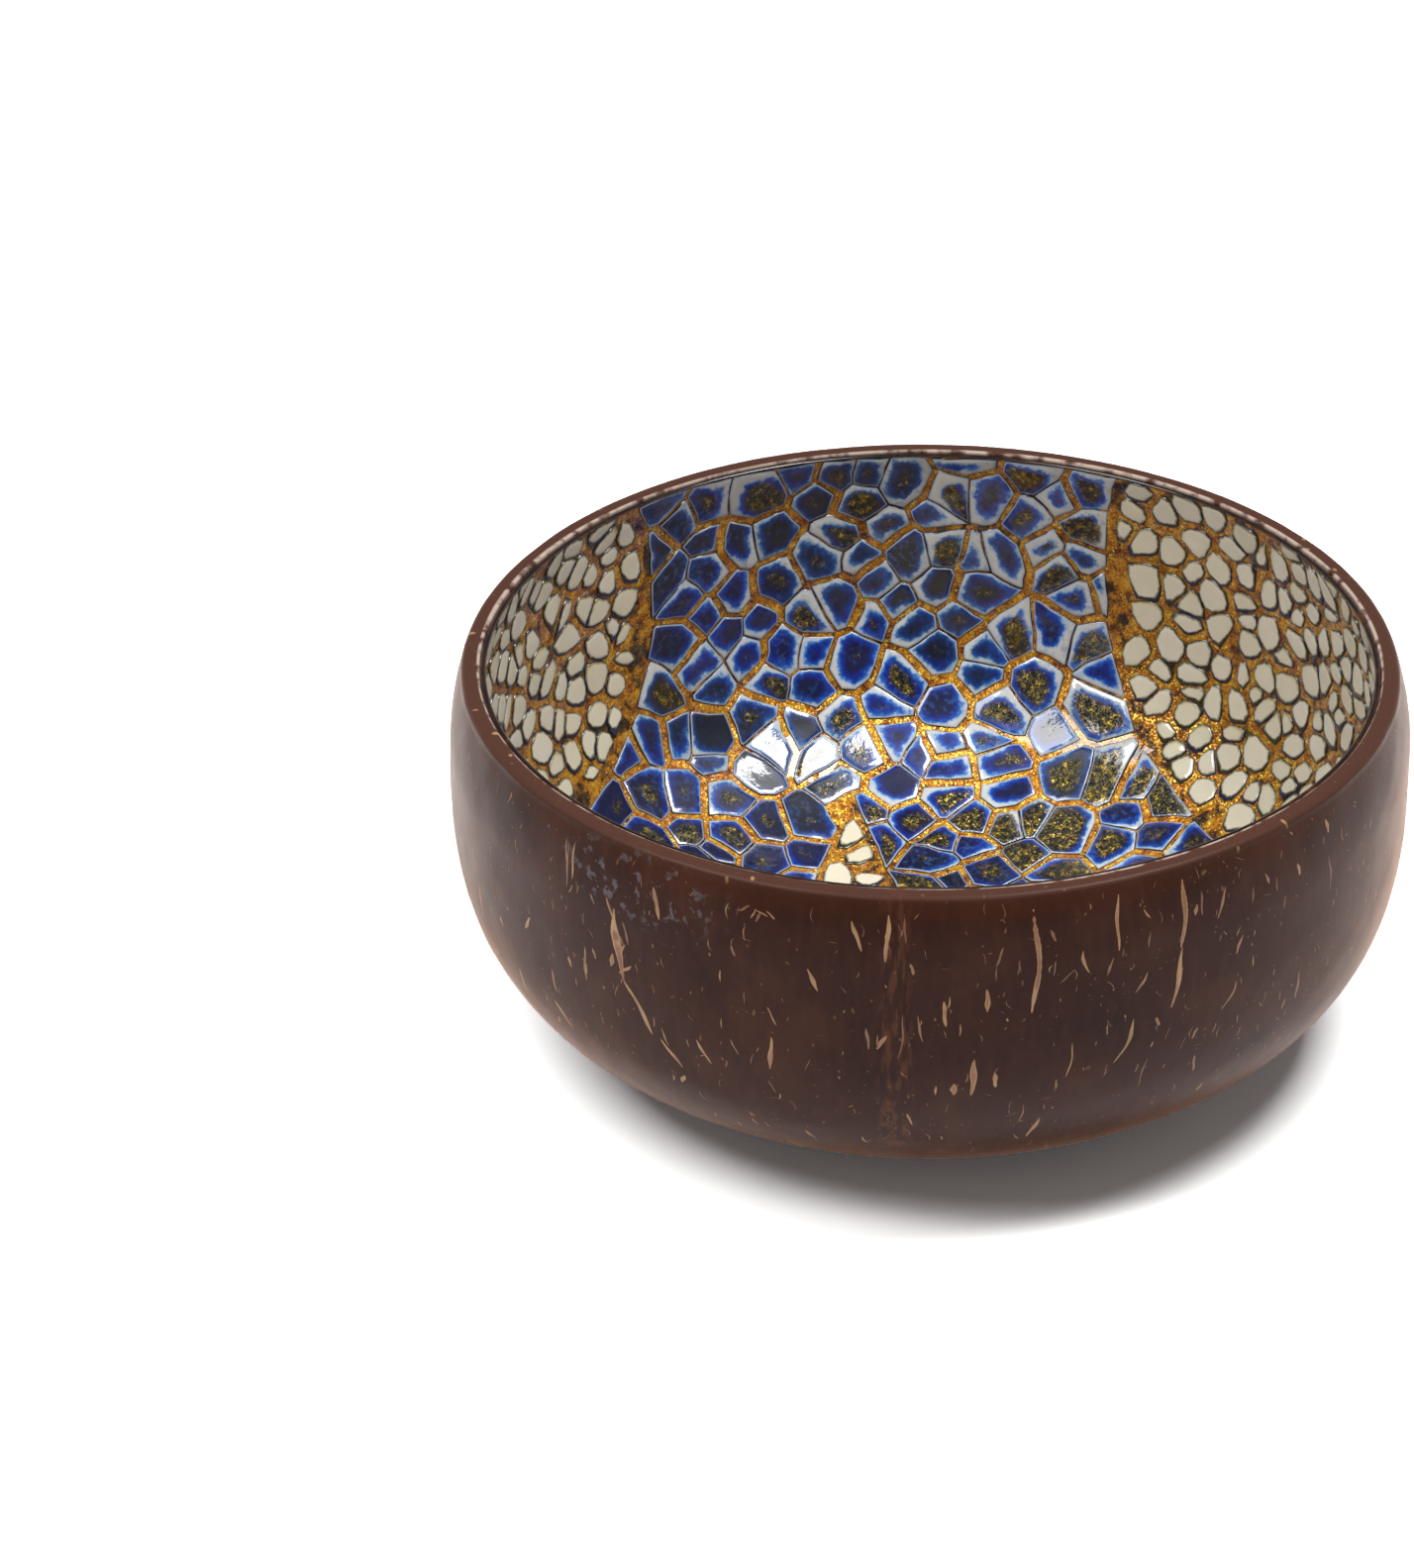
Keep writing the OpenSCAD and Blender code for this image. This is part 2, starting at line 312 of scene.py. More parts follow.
@dataclass
class Bed:
    """The surface that the eggshell lies on, as tables along its curve."""

    curve: WallCurve
    depth: float
    top: float
    seat_lower: int = 20
    seat_upper: int = 4
    fine: int = 240

    def __post_init__(self) -> None:
        """Works out the area below each point, and the bed's radius by direction."""
        rough = self.curve.points(self.depth, self.top, self.seat_lower, self.seat_upper)
        step = np.hypot(*np.diff(rough, axis=0).T)
        strip = np.pi * (rough[1:, 0] + rough[:-1, 0]) * step
        self.area = np.r_[0, np.cumsum(strip)]
        self.rough = rough
        smooth = self.curve.points(self.depth, self.curve.height, self.fine, self.fine // 4)
        self.hub = self.curve.belly_z
        direction = np.arctan2(self.hub - smooth[:, 1], smooth[:, 0])[::-1]
        slope = np.gradient(smooth, axis=0)
        slope /= np.linalg.norm(slope, axis=1)[:, None]
        self.direction = direction
        self.reach = np.hypot(smooth[:, 0], self.hub - smooth[:, 1])[::-1]
        self.normal = np.column_stack([-slope[:, 1], slope[:, 0]])[::-1]

    @property
    def full(self) -> float:
        """The whole area of the bed."""
        return float(self.area[-1])

    def radius(self, area: Array) -> Array:
        """Radius of the bed where a given area lies below."""
        return np.interp(area, self.area, self.rough[:, 0])

    def height(self, area: Array) -> Array:
        """Height of the bed where a given area lies below."""
        return np.interp(area, self.area, self.rough[:, 1])

    def settle(self, points: Array) -> tuple[Array, Array]:
        """Draws points near the bed onto it, along rays from the middle of the belly.

        Args:
            points: places in millimetres.

        Returns:
            The places on the bed and the bed's normals there, which point into the bowl.
        """
        out = np.hypot(points[..., 0], points[..., 1])
        azimuth = np.arctan2(points[..., 1], points[..., 0])
        direction = np.arctan2(self.hub - points[..., 2], out)
        reach = np.interp(direction, self.direction, self.reach)
        r = reach * np.cos(direction)
        z = self.hub - reach * np.sin(direction)
        nr = np.interp(direction, self.direction, self.normal[:, 0])
        nz = np.interp(direction, self.direction, self.normal[:, 1])
        cos, sin = np.cos(azimuth), np.sin(azimuth)
        place = np.stack([r * cos, r * sin, z], -1)
        normal = np.stack([nr * cos, nr * sin, nz], -1)
        return place, normal / np.linalg.norm(normal, axis=-1)[..., None]


@dataclass
class Seats:
    """Seats for pieces on a golden-angle spiral over the bed, each shaken from its place.

    Seat i lies i golden angles round, where (i + 1/2) / count of the bed's area lies below.
    """

    bed: Bed
    width: float
    scatter: float = 0.38
    least: float = 0.62

    def __post_init__(self) -> None:
        """Works out the place, the azimuth, the slope and the directions of every seat."""
        bed, w = self.bed, self.width
        count = round(bed.full / w**2)
        i = np.arange(count, dtype=float)
        even = bed.full * (i + 0.5) / count
        shaken = even + self.scatter * w * (2 * chance(i, 1) - 1) * 2 * np.pi * bed.radius(even)
        area = np.minimum(bed.full - bed.full / count / 4, np.abs(shaken))
        r = bed.radius(area)
        spin = self.scatter * (2 * chance(i, 2) - 1) * np.minimum(1, w / np.maximum(r, w))
        azimuth = np.radians(GOLDEN_TURN * i) + spin
        step = bed.full / count / 2
        low = np.maximum(0, area - step)
        high = np.minimum(bed.full, area + step)
        rise = bed.height(high) - bed.height(low)
        slope = np.arctan2(rise, bed.radius(high) - bed.radius(low))
        cos, sin = np.cos(azimuth), np.sin(azimuth)
        place = np.column_stack([r * cos, r * sin, bed.height(area)])
        near = np.linalg.norm(place[:, None] - place[None], axis=2) < self.least * w
        free = ~(near & (i[None] < i[:, None])).any(1)
        cos, sin, slope = cos[free], sin[free], slope[free]
        self.number = i[free]
        self.group = self.number
        self.area = area[free]
        self.slope = slope
        self.place = place[free]
        self.along = np.column_stack([np.cos(slope) * cos, np.cos(slope) * sin, np.sin(slope)])
        self.around = np.column_stack([-sin, cos, np.zeros(len(cos))])

    def join(self, groups: Seats) -> None:
        """Gives every seat to the nearest of some wider spaced seats."""
        away = np.linalg.norm(self.place[:, None] - groups.place[None], axis=2)
        self.group = groups.number[away.argmin(1)]


@dataclass(frozen=True)
class Borders:
    """The straight borders, in plan, between the white areas and the blue one."""

    left_foot: tuple[float, float] = (-0.941 * CURVE.rim_r, 0.0)
    left_lean: float = 0.40
    right_foot: tuple[float, float] = (0.894 * CURVE.rim_r, 0.0)
    right_lean: float = -0.54
    tip: tuple[float, float] = (-0.176 * CURVE.rim_r, 0.7 * CURVE.rim_r)
    wedge_left_lean: float = 0.235
    wedge_right_lean: float = -0.335

    @staticmethod
    def gap(p: Array, foot: tuple[float, float], lean: float) -> Array:
        """Signed distance in plan from a line, positive to its right."""
        return (p[..., 0] - foot[0] - lean * (p[..., 1] - foot[1])) / math.hypot(1, lean)

    def gaps(self, p: Array) -> tuple[Array, Array, Array, Array]:
        """Distances from the left and right borders and from the wedge's two sides."""
        return (
            self.gap(p, self.left_foot, self.left_lean),
            self.gap(p, self.right_foot, self.right_lean),
            self.gap(p, self.tip, self.wedge_left_lean),
            self.gap(p, self.tip, self.wedge_right_lean),
        )

    def area_of(self, p: Array) -> Array:
        """The number of the area that each place belongs to.

        Args:
            p: places in millimetres.

        Returns:
            Their areas' numbers.
        """
        left, right, wedge_left, wedge_right = self.gaps(p)
        wedge = (p[..., 1] < self.tip[1]) & (wedge_left > 0) & (wedge_right < 0)
        area = np.where(wedge, Area.WHITE_FRONT, Area.BLUE)
        area = np.where(right > 0, Area.WHITE_RIGHT, area)
        return np.where(left < 0, Area.WHITE_LEFT, area)


Line = tuple[Array, float]


@dataclass
class Layout:
    """Works out the outline of every piece of eggshell, flat on the plane of its seat."""

    bed: Bed
    borders: Borders = field(default_factory=Borders)
    group_w: float = 10.6
    blue_w: float = 5.6
    white_w: float = 4.0
    blue_joint: float = 0.85
    white_joint: float = 0.8
    crack_w: float = 0.18
    border_joint: float = 0.9
    joint_spread: float = 0.5
    chip_w: float = 1.4
    gap: float = 0.05
    neighbour_share: float = 2.3
    claim_share: float = 0.32
    level_share: float = 0.1
    pebble_power: float = 8.0
    white_groups_from: float = 1e4
    sides: int = 12

    def __post_init__(self) -> None:
        """Lays out the seats of the blue pieces and of the pebbles, and finds their groups."""
        wide = Seats(self.bed, self.group_w)
        self.blue = Seats(self.bed, self.blue_w)
        self.white = Seats(self.bed, self.white_w)
        self.blue.join(wide)
        self.white.join(wide)
        self.white_area = self.borders.area_of(self.white.place)
        self.blue_members = np.flatnonzero(self.borders.area_of(self.blue.place) == Area.BLUE)
        self.white_members = np.flatnonzero(self.white_area != Area.BLUE)

    def claims(self, s: Seats) -> Array:
        """What each seat claims from its neighbours, in square millimetres."""
        return self.claim_share * s.width**2 * chance(s.number, 3)

    def apart(self, points: Array) -> Array:
        """Distance of points on the bed from the nearest gold joint's middle, in millimetres.

        The joints run between pieces of two groups. With the power distance
        |p - seat|^2 - claim, a point p is (second - first) / (2 |seat to seat|) from the
        line between its own seat and the nearest one of another group.

        Args:
            points: rows of places, an array of (rows, columns, 3).

        Returns:
            An array of (rows, columns).
        """
        white = (self.white, self.white_members, self.white_groups_from)
        parts = ((self.blue, self.blue_members, 0), white)
        seats = np.concatenate([s.place[m] for s, m, _ in parts])
        claim = np.concatenate([self.claims(s)[m] for s, m, _ in parts])
        group = np.concatenate([s.group[m] + shift for s, m, shift in parts])
        found = []
        for row in points:
            power = ((row[:, None] - seats[None]) ** 2).sum(2) - claim
            first = power.argmin(1)
            other = np.where(group[None] == group[first][:, None], np.inf, power)
            second = other.argmin(1)
            between = 2 * np.linalg.norm(seats[first] - seats[second], axis=1)
            found.append((other.min(1) - power.min(1)) / between)
        return np.array(found)

    def border_line(self, s: Seats, k: int, gap: float, lean: float) -> list[Line]:
        """A border as a line on the plane of a seat.

        Args:
            s: the seats.
            k: the seat's number.
            gap: signed distance in plan from the border.
            lean: the border's lean.

        Returns:
            The line, or nothing if it is far away.
        """
        side = 1.0 if gap < 0 else -1.0
        v = side * np.array([1.0, -lean, 0.0]) / math.hypot(1, lean)
        d = np.array([v @ s.along[k], v @ s.around[k]])
        size = float(np.hypot(*d))
        if size * self.group_w < abs(gap):
            return []
        return [(d / size, (abs(gap) - self.border_joint / 2) / size)]

    def border_lines(self, s: Seats, k: int, area: Area) -> list[Line]:
        """The lines that cut a seat's piece at the borders and at the lining's top.

        Args:
            s: the seats.
            k: the seat's number.
            area: its area.

        Returns:
            The lines.
        """
        b, p = self.borders, s.place[k]
        left, right, wedge_left, wedge_right = (float(g) for g in b.gaps(p))
        at_left = self.border_line(s, k, left, b.left_lean)
        at_right = self.border_line(s, k, right, b.right_lean)
        at_wedge_left = self.border_line(s, k, wedge_left, b.wedge_left_lean)
        at_wedge_right = self.border_line(s, k, wedge_right, b.wedge_right_lean)
        if area == Area.WHITE_LEFT:
            lines = at_left
        elif area == Area.WHITE_RIGHT:
            lines = at_right
        elif area == Area.WHITE_FRONT:
            lines = at_wedge_left + at_wedge_right
        else:
            beside = at_wedge_left if wedge_left < -wedge_right else at_wedge_right
            lines = at_left + at_right + (beside if p[1] < b.tip[1] else [])
        climb = max(math.sin(s.slope[k]), self.level_share)
        rim = (self.bed.top - p[2]) / climb - self.gap
        return lines + [(np.array([1.0, 0.0]), rim)]

    def neighbour_lines(self, s: Seats, k: int, members: Array, w: float, joint: float) -> list[Line]:
        """The lines between a seat and its neighbours, less half of a joint.

        With v from the seat to its neighbour, the line lies at
        (|v|^2 + claim of the seat - claim of the neighbour) / (2 |v|).

        Args:
            s: the seats.
            k: the seat's number.
            members: numbers of the seats that have a piece.
            w: spacing of the seats.
            joint: mean width of a gold joint.

        Returns:
            The lines.
        """
        away = np.linalg.norm(s.place[members] - s.place[k], axis=1)
        near = members[(members != k) & (away < self.neighbour_share * w)]
        v = s.place[near] - s.place[k]
        d = np.column_stack([v @ s.along[k], v @ s.around[k]])
        size = np.hypot(*d.T)
        spread = self.joint_spread * (2 * chance(s.number[k] + s.number[near], 9) - 1)
        gap = np.where(s.group[near] == s.group[k], self.crack_w, joint * (1 + spread))
        claims = self.claims(s)
        claim = claims[k] - claims[near]
        reach = (size + claim / size - gap) / 2
        return list(zip(d / size[:, None], reach))

    @staticmethod
    def cut(points: Array, line: Line) -> Array:
        """The part of a convex outline on the near side of a line.

        Args:
            points: the outline's corners.
            line: the line.

        Returns:
            The corners of that part.
        """
        short = line[1] - points @ line[0]
        kept = []
        for i, p in enumerate(points):
            j = (i + 1) % len(points)
            if short[i] >= 0:
                kept.append(p)
            if short[i] * short[j] < 0:
                kept.append(p + (points[j] - p) * short[i] / (short[i] - short[j]))
        return np.array(kept).reshape(-1, 2)

    def cut_all(self, points: Array, lines: list[Line]) -> Array:
        """The part of a convex outline on the near side of every line.

        Args:
            points: the outline's corners.
            lines: the lines.

        Returns:
            The corners of that part.
        """
        for line in lines:
            if len(points) < 3:
                return points
            points = self.cut(points, line)
        return points

    def is_laid(self, points: Array) -> bool:
        """Whether an outline is wide enough for a chip of eggshell.

        Args:
            points: the outline's corners.

        Returns:
            True if its middle keeps half a chip's width from every side.
        """
        if len(points) < 3:
            return False
        m = points.mean(0)
        e = np.roll(points, -1, 0) - points
        e /= np.linalg.norm(e, axis=1)[:, None]
        off = m - points
        return 2 * np.abs(off[:, 0] * e[:, 1] - off[:, 1] * e[:, 0]).min() > self.chip_w

    def cleaned(self, points: Array) -> Array:
        """An outline without corners that lie too close to the next.

        Args:
            points: the outline's corners.

        Returns:
            The corners that stay.
        """
        if len(points) == 0:
            return points
        step = np.linalg.norm(np.roll(points, -1, 0) - points, axis=1)
        return points[step > self.crack_w]

    def resampled(self, corners: Array) -> Array:
        """An outline with its corners kept and its sides divided, to one fixed count of points.

        Point i of a side that has n of them lies i/n of the way along it.

        Args:
            corners: the outline's corners.

        Returns:
            The points.
        """
        after = np.roll(corners, -1, 0)
        length = np.linalg.norm(after - corners, axis=1)
        share = length / length.sum() * (self.sides - len(corners))
        parts = 1 + np.floor(share).astype(int)
        for j in np.argsort(np.floor(share) - share)[: self.sides - parts.sum()]:
            parts[j] += 1
        side = np.repeat(np.arange(len(corners)), parts)
        step = np.concatenate([np.arange(n) / n for n in parts])
        return corners[side] + (after - corners)[side] * step[:, None]

    def flake(self, s: Seats, k: int, members: Array) -> list[Array]:
        """The outline of a blue piece, which has straight sides.

        Args:
            s: the seats.
            k: the seat's number.
            members: numbers of the seats that have a piece.

        Returns:
            The outline, or nothing if the piece is too small to lay.
        """
        square = np.array([[1.0, 1.0], [-1.0, 1.0], [-1.0, -1.0], [1.0, -1.0]]) * self.group_w
        lines = self.neighbour_lines(s, k, members, self.blue_w, self.blue_joint)
        piece = self.cleaned(self.cut_all(square, lines + self.border_lines(s, k, Area.BLUE)))
        return [self.resampled(piece)] if self.is_laid(piece) else []

    def pebble(self, s: Seats, k: int, members: Array, area: Area) -> list[Array]:
        """The outline of a white pebble: the lines round its seat blended into one curve.

        The reach in direction u is (sum of (u.n / reach of the line)^p)^(-1/p).

        Args:
            s: the seats.
            k: the seat's number.
            members: numbers of the seats that have a piece.
            area: its area.

        Returns:
            The outline, or nothing if the piece is too small to lay.
        """
        lines = self.neighbour_lines(s, k, members, self.white_w, self.white_joint)
        lines += self.border_lines(s, k, area)
        reach = np.array([line[1] for line in lines])
        if reach.min() < self.chip_w / 4:
            return []
        a = 2 * np.pi * np.arange(self.sides) / self.sides
        u = np.column_stack([np.cos(a), np.sin(a)])
        n = np.array([line[0] for line in lines])
        pull = (np.maximum(0, u @ n.T) / reach) ** self.pebble_power
        total = np.maximum(pull.sum(1), (1 / self.white_w) ** self.pebble_power)
        return [u / total[:, None] ** (1 / self.pebble_power)]


@dataclass
class Tiles:
    """A group of pieces of eggshell: the seat of each, its outline and its number."""

    seats: Seats
    seat: list[int] = field(default_factory=list)
    outline: list[Array] = field(default_factory=list)

    def add(self, k: int, outlines: list[Array]) -> None:
        """Adds the pieces of a seat.

        Args:
            k: the seat's number.
            outlines: their outlines.
        """
        for outline in outlines:
            self.seat.append(k)
            self.outline.append(outline)


@dataclass
class Mosaic:
    """The eggshell mosaic: every piece a closed, slightly crowned chip with eased edges."""

    layout: Layout
    top: float = LAYERS.bed_depth - LAYERS.tile_top
    sunk: float = 0.35
    ease_drop: float = 0.12
    ease_w: float = 0.12
    flatness: float = 0.4
    tilt: float = 0.03
    wobble: tuple[float, ...] = (0.3, 0.12)
    wobble_wave: tuple[float, ...] = (8.0, 2.9)
    wobble_seeds: tuple[float, ...] = (0.3, 1.9)
    insets: tuple[float, ...] = (0.0, 0.14, 0.7)
    core_share: float = 0.42
    soft_w: float = 0.42
    soft_side: float = 3.0
    drift: float = 0.3
    least_inner: float = 0.15
    narrow: float = 0.5
    draw_step: float = 37.0
    floor_share: float = 0.36
    white_floor_share: float = 0.52

    def groups(self) -> dict[str, Tiles]:
        """Sorts the pieces into groups by their colour and place.

        Returns:
            Name of the group to its pieces.
        """
        layout = self.layout
        groups: dict[str, Tiles] = {}
        for k in layout.blue_members:
            name = "blue_" + self.blue_sector(layout.blue, k)
            outlines = layout.flake(layout.blue, k, layout.blue_members)
            groups.setdefault(name, Tiles(layout.blue)).add(k, outlines)
        for k in layout.white_members:
            area = Area(layout.white_area[k])
            name = "white_" + self.white_sector(layout.white, k, area)
            outlines = layout.pebble(layout.white, k, layout.white_members, area)
            groups.setdefault(name, Tiles(layout.white)).add(k, outlines)
        return groups

    def blue_sector(self, s: Seats, k: int) -> str:
        """The sector of the blue area that a seat lies in.

        Args:
            s: the seats.
            k: the seat's number.

        Returns:
            Its name.
        """
        x, y, _ = s.place[k]
        if s.area[k] < self.floor_share * self.layout.bed.full:
            return "floor"
        if y > abs(x) / 2:
            return "back"
        return "left" if x < 0 else "right"

    def white_sector(self, s: Seats, k: int, area: Area) -> str:
        """The sector of the white areas that a seat lies in.

        Args:
            s: the seats.
            k: the seat's number.
            area: its area.

        Returns:
            Its name.
        """
        if area == Area.WHITE_LEFT:
            return "left"
        if area == Area.WHITE_RIGHT:
            return "right"
        low = s.area[k] < self.white_floor_share * self.layout.bed.full
        return "floor" if low else "front"

    def build(self, finishes: dict[str, bpy.types.Material]) -> None:
        """Builds one piece for each group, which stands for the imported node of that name.

        Args:
            finishes: colour to material.
        """
        for name, tiles in sorted(self.groups().items()):
            colour = name.split("_")[0]
            piece = self.lay(f"eggshell_{name}", tiles, finishes[colour], f"{colour}_eggshell")
            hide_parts(f"tesserae_{name}")

    def spots(self, flat: Array, middle: Array, inner: Array) -> Array:
        """The points of chips on their planes: underside, top edge, rings drawn in, middle.

        Args:
            flat: the chips' outlines.
            middle: their middles.
            inner: how far each middle is from the nearest side.

        Returns:
            An array of (chips, points, 2).
        """
        shares = [1 - inset / np.maximum(inner, inset + self.least_inner) for inset in self.insets]
        shares.append(shares[-1] * self.core_share)
        rings = [middle + (flat - middle) * share[:, None, None] for share in shares]
        return np.concatenate(rings[:1] + rings + [middle], 1)

    def wavered(self, s: Seats, seat: Array, spots: Array) -> Array:
        """Places of points on the planes of seats, shifted a little by smooth fields.

        Args:
            s: the seats.
            seat: the number of each chip's seat.
            spots: the chips' points on the planes.

        Returns:
            An array of (chips, points, 3).
        """
        along, around = s.along[seat][:, None], s.around[seat][:, None]
        start = s.place[seat][:, None] + spots[..., :1] * along + spots[..., 1:] * around
        place = start
        for size, wave in zip(self.wobble, self.wobble_wave):
            sway = np.stack([ripple(start, wave, q) for q in self.wobble_seeds], -1)
            place = place + size * (sway[..., :1] * along + sway[..., 1:] * around)
        return place

    def lay(self, name: str, tiles: Tiles, finish: bpy.types.Material, slot: str) -> bpy.types.Object:
        """Builds the mesh of a group of chips as whole arrays.

        A chip has rings of points: its underside, its top edge, and rings drawn in towards
        its middle. The height of a point above the bed is the top height less
        drop * exp(-distance from the edge / width), so that the edges are eased, and the top
        lies between the bed's curve and a flat plane, tilted a little for each chip.

        Args:
            name: name of the piece.
            tiles: its chips.
            finish: its material.
            slot: the record's material slot.

        Returns:
            The new object.
        """
        seat = np.array(tiles.seat)
        flat = np.stack(tiles.outline)
        count, sides = flat.shape[:2]
        middle = flat.mean(1, keepdims=True)
        edge = np.roll(flat, -1, 1) - flat
        length = np.linalg.norm(edge, axis=2, keepdims=True)
        outward = np.stack([edge[..., 1], -edge[..., 0]], -1) / np.maximum(length, 1e-6)
        inner = ((flat - middle) * outward).sum(2).min(1)
        spots = self.spots(flat, middle, inner)
        off = ((flat[:, None] - spots[:, :, None]) * outward[:, None]).sum(3)
        inside = off.min(2)
        pull = length[:, None, :, 0] / self.soft_side * np.exp(-off / self.soft_w)
        soft = -self.soft_w * np.log(pull.sum(2))
        place, normal = self.layout.bed.settle(self.wavered(tiles.seats, seat, spots))
        centre, up = place[:, -1:], normal[:, -1:]
        lift = ((place - centre) * up).sum(2, keepdims=True)
        number = np.arange(count) + self.draw_step * seat
        random = np.stack([chance(number, q) for q in range(11, 16)], -1)
        lean = (2 * random[:, None, 3:] - 1) * self.tilt
        tilt = ((spots - middle) * lean).sum(2, keepdims=True)
        height = -self.top - self.ease_drop * np.exp(-inside / self.ease_w)
        level = lift[:, :sides].mean(1, keepdims=True)
        height = height[..., None] + tilt - self.flatness * (lift - level)
        height[:, :sides] = -self.sunk
        place = place + up * height
        chip = np.repeat(random[:, None, :3], spots.shape[1], 1)
        soft = soft + self.drift * ((spots - middle) * (2 * random[:, None, 1:3] - 1)).sum(2)
        across = ((spots - middle)[..., 0] / np.maximum(inner, self.narrow)[:, None]).clip(-2, 2)
        faces = self.faces(count, sides, len(self.insets) + 1)
        piece = make_piece(name, place.reshape(-1, 3), faces, finish, slot)
        set_floats(piece, "edge", inside)
        set_floats(piece, "soft", soft)
        set_floats(piece, "upward", across)
        set_vectors(piece, "chip", chip)
        return piece

    @staticmethod
    def faces(count: int, sides: int, rings: int) -> list:
        """The faces of a number of like chips: walls and rings of quads, a fan and an underside.

        Args:
            count: number of chips.
            sides: points of a ring.
            rings: number of rings on top.

        Returns:
            Rows of point numbers.
        """
        total = sides * (rings + 1) + 1
        i = np.arange(sides)
        j = (i + 1) % sides
        bands = [np.column_stack([i, j, j + sides, i + sides]) + ring * sides for ring in range(rings)]
        quads = np.concatenate(bands)
        fan = np.column_stack([i + rings * sides, j + rings * sides, np.full(sides, total - 1)])
        under = i[::-1][None]
        start = (np.arange(count) * total)[:, None, None]
        groups = [(start + part[None]).reshape(-1, part.shape[1]) for part in (quads, fan, under)]
        return [row for group in groups for row in group.tolist()]


@dataclass
class Shell:
    """Half of a coconut: a flat base, a turned belly and a rounded rim; the fibres in it are laid by Fibres.
    """

    columns: int = 480
    rows: int = 104
    upper_rows: int = 17
    inner_rows: int = 24
    inner_upper_rows: int = 8
    base_points: int = 8
    base_ease: float = 0.5
    least_z: float = 0.25
    arc_step: int = 10
    sole_r: float = 10.0

    def rim_arc(self, depth: float, size: float, side: int) -> Array:
        """One rounded edge of the rim, as a quarter of a circle that starts at the wall.

        Args:
            depth: depth of the wall that it rises from.
            size: its radius.
            side: -1 if it turns in towards the axis, 1 if it turns out.

        Returns:
            (radius, height) rows.
        """
        a = np.radians(np.arange(self.arc_step, 90 + 1, self.arc_step))
        z = CURVE.height - size
        x = CURVE.upper_r(depth, z)
        return np.column_stack([x + side * size * (1 - np.cos(a)), z + size * np.sin(a)])

    def profile(self) -> Array:
        """The outline from the middle of the base, up the outside, over the rim and down.

        Returns:
            (radius, height) rows.
        """
        outer_z = CURVE.height - LAYERS.rim_round_out
        inner_z = CURVE.height - LAYERS.rim_round_in
        across = np.linspace(0, CURVE.base_r - self.base_ease, self.base_points)
        base = np.column_stack([across, np.zeros(self.base_points)])
        outer = CURVE.points(0, outer_z, self.rows, self.upper_rows)
        outer = outer[outer[:, 1] > self.least_z]
        outer_arc = self.rim_arc(0, LAYERS.rim_round_out, -1)
        inner_arc = self.rim_arc(LAYERS.shell_t, LAYERS.rim_round_in, 1)[::-1]
        inner = CURVE.points(LAYERS.shell_t, inner_z, self.inner_rows, self.inner_upper_rows)[::-1]
        return np.vstack([base, outer, outer_arc, inner_arc, inner])

    @staticmethod
    def uneven(points: Array) -> Array:
        """How far hand polishing left the outside proud or shy of its true curve."""
        free = np.clip(points[..., 2] / POLISH_FREE_Z, 0, 1)
        return free * sum(size * ripple(points, wave, seed) for size, wave, seed in POLISH_WAVES)

    def build(self, finish: bpy.types.Material) -> bpy.types.Object:
        """Builds the shell, its outside a little uneven as hand polishing leaves it.

        Args:
            finish: its material.

        Returns:
            The new object.
        """
        points, faces = revolve(self.profile(), self.columns)
        r = np.hypot(points[:, 0], points[:, 1])
        out = points[:, :2] / np.maximum(r, 1)[:, None]
        points[:, :2] += out * (self.uneven(points) * (r > self.sole_r))[:, None]
        piece = make_piece("coconut_shell", points, faces, finish, "coconut_shell")
        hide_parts("shell")
        return piece


@dataclass(frozen=True)
class Fibre:
    """A husk fibre that polishing laid open, by its upper end, its reach and its width."""

    azimuth: float
    height: float
    length: float
    lean: float
    width: float
    bend: float = 0.0


@dataclass(frozen=True)
class Lot:
    """Fibres scattered all round the shell, their values drawn from the even random numbers.

    A range is given as its least value and its span.
    """

    count: int
    seed: int
    start: float
    jitter: float
    height: tuple[float, float]
    length: tuple[float, float]
    length_power: int
    width: tuple[float, float]
    lean: float
    bend: float
    loose: float = 1.6
    steady_length: float = 6.0

    def steered(self, i: Array, lean: Array, length: Array) -> Array:
        """The leans of fibres i: the longer a fibre, the closer it keeps to the grain."""
        return lean * (self.loose - length / self.steady_length)

    def fibres(self) -> list[Fibre]:
        """Draws the fibres of the lot, whose azimuths go round by the golden share.

        Returns:
            The fibres.
        """
        i = np.arange(self.count, dtype=float)
        azimuth = 360 * frac(i * GOLDEN_SHARE + self.start) + self.jitter * chance(i, self.seed)
        height = self.height[0] + self.height[1] * chance(i, self.seed + 1)
        length = self.length[0] + self.length[1] * chance(i, self.seed + 2) ** self.length_power
        lean = self.steered(i, self.lean * (chance(i, self.seed + 3) - 0.5), length)
        width = self.width[0] + self.width[1] * chance(i, self.seed + 4) ** 2
        bend = self.bend * (chance(i, self.seed + 5) - 0.5)
        rows = zip(azimuth, height, length, lean, width, bend)
        return [Fibre(*(float(v) for v in row)) for row in rows]


@dataclass(frozen=True)
class FleckLot(Lot):
    """Small flecks, a share of which lie in all directions and the rest near the grain."""

    crossed: float = 0.45
    steadied: float = 0.25

    def steered(self, i: Array, lean: Array, length: Array) -> Array:
        """The leans of flecks i, whatever their length."""
        return np.where(chance(i, self.seed + 6) > self.crossed, lean * self.steadied, lean)


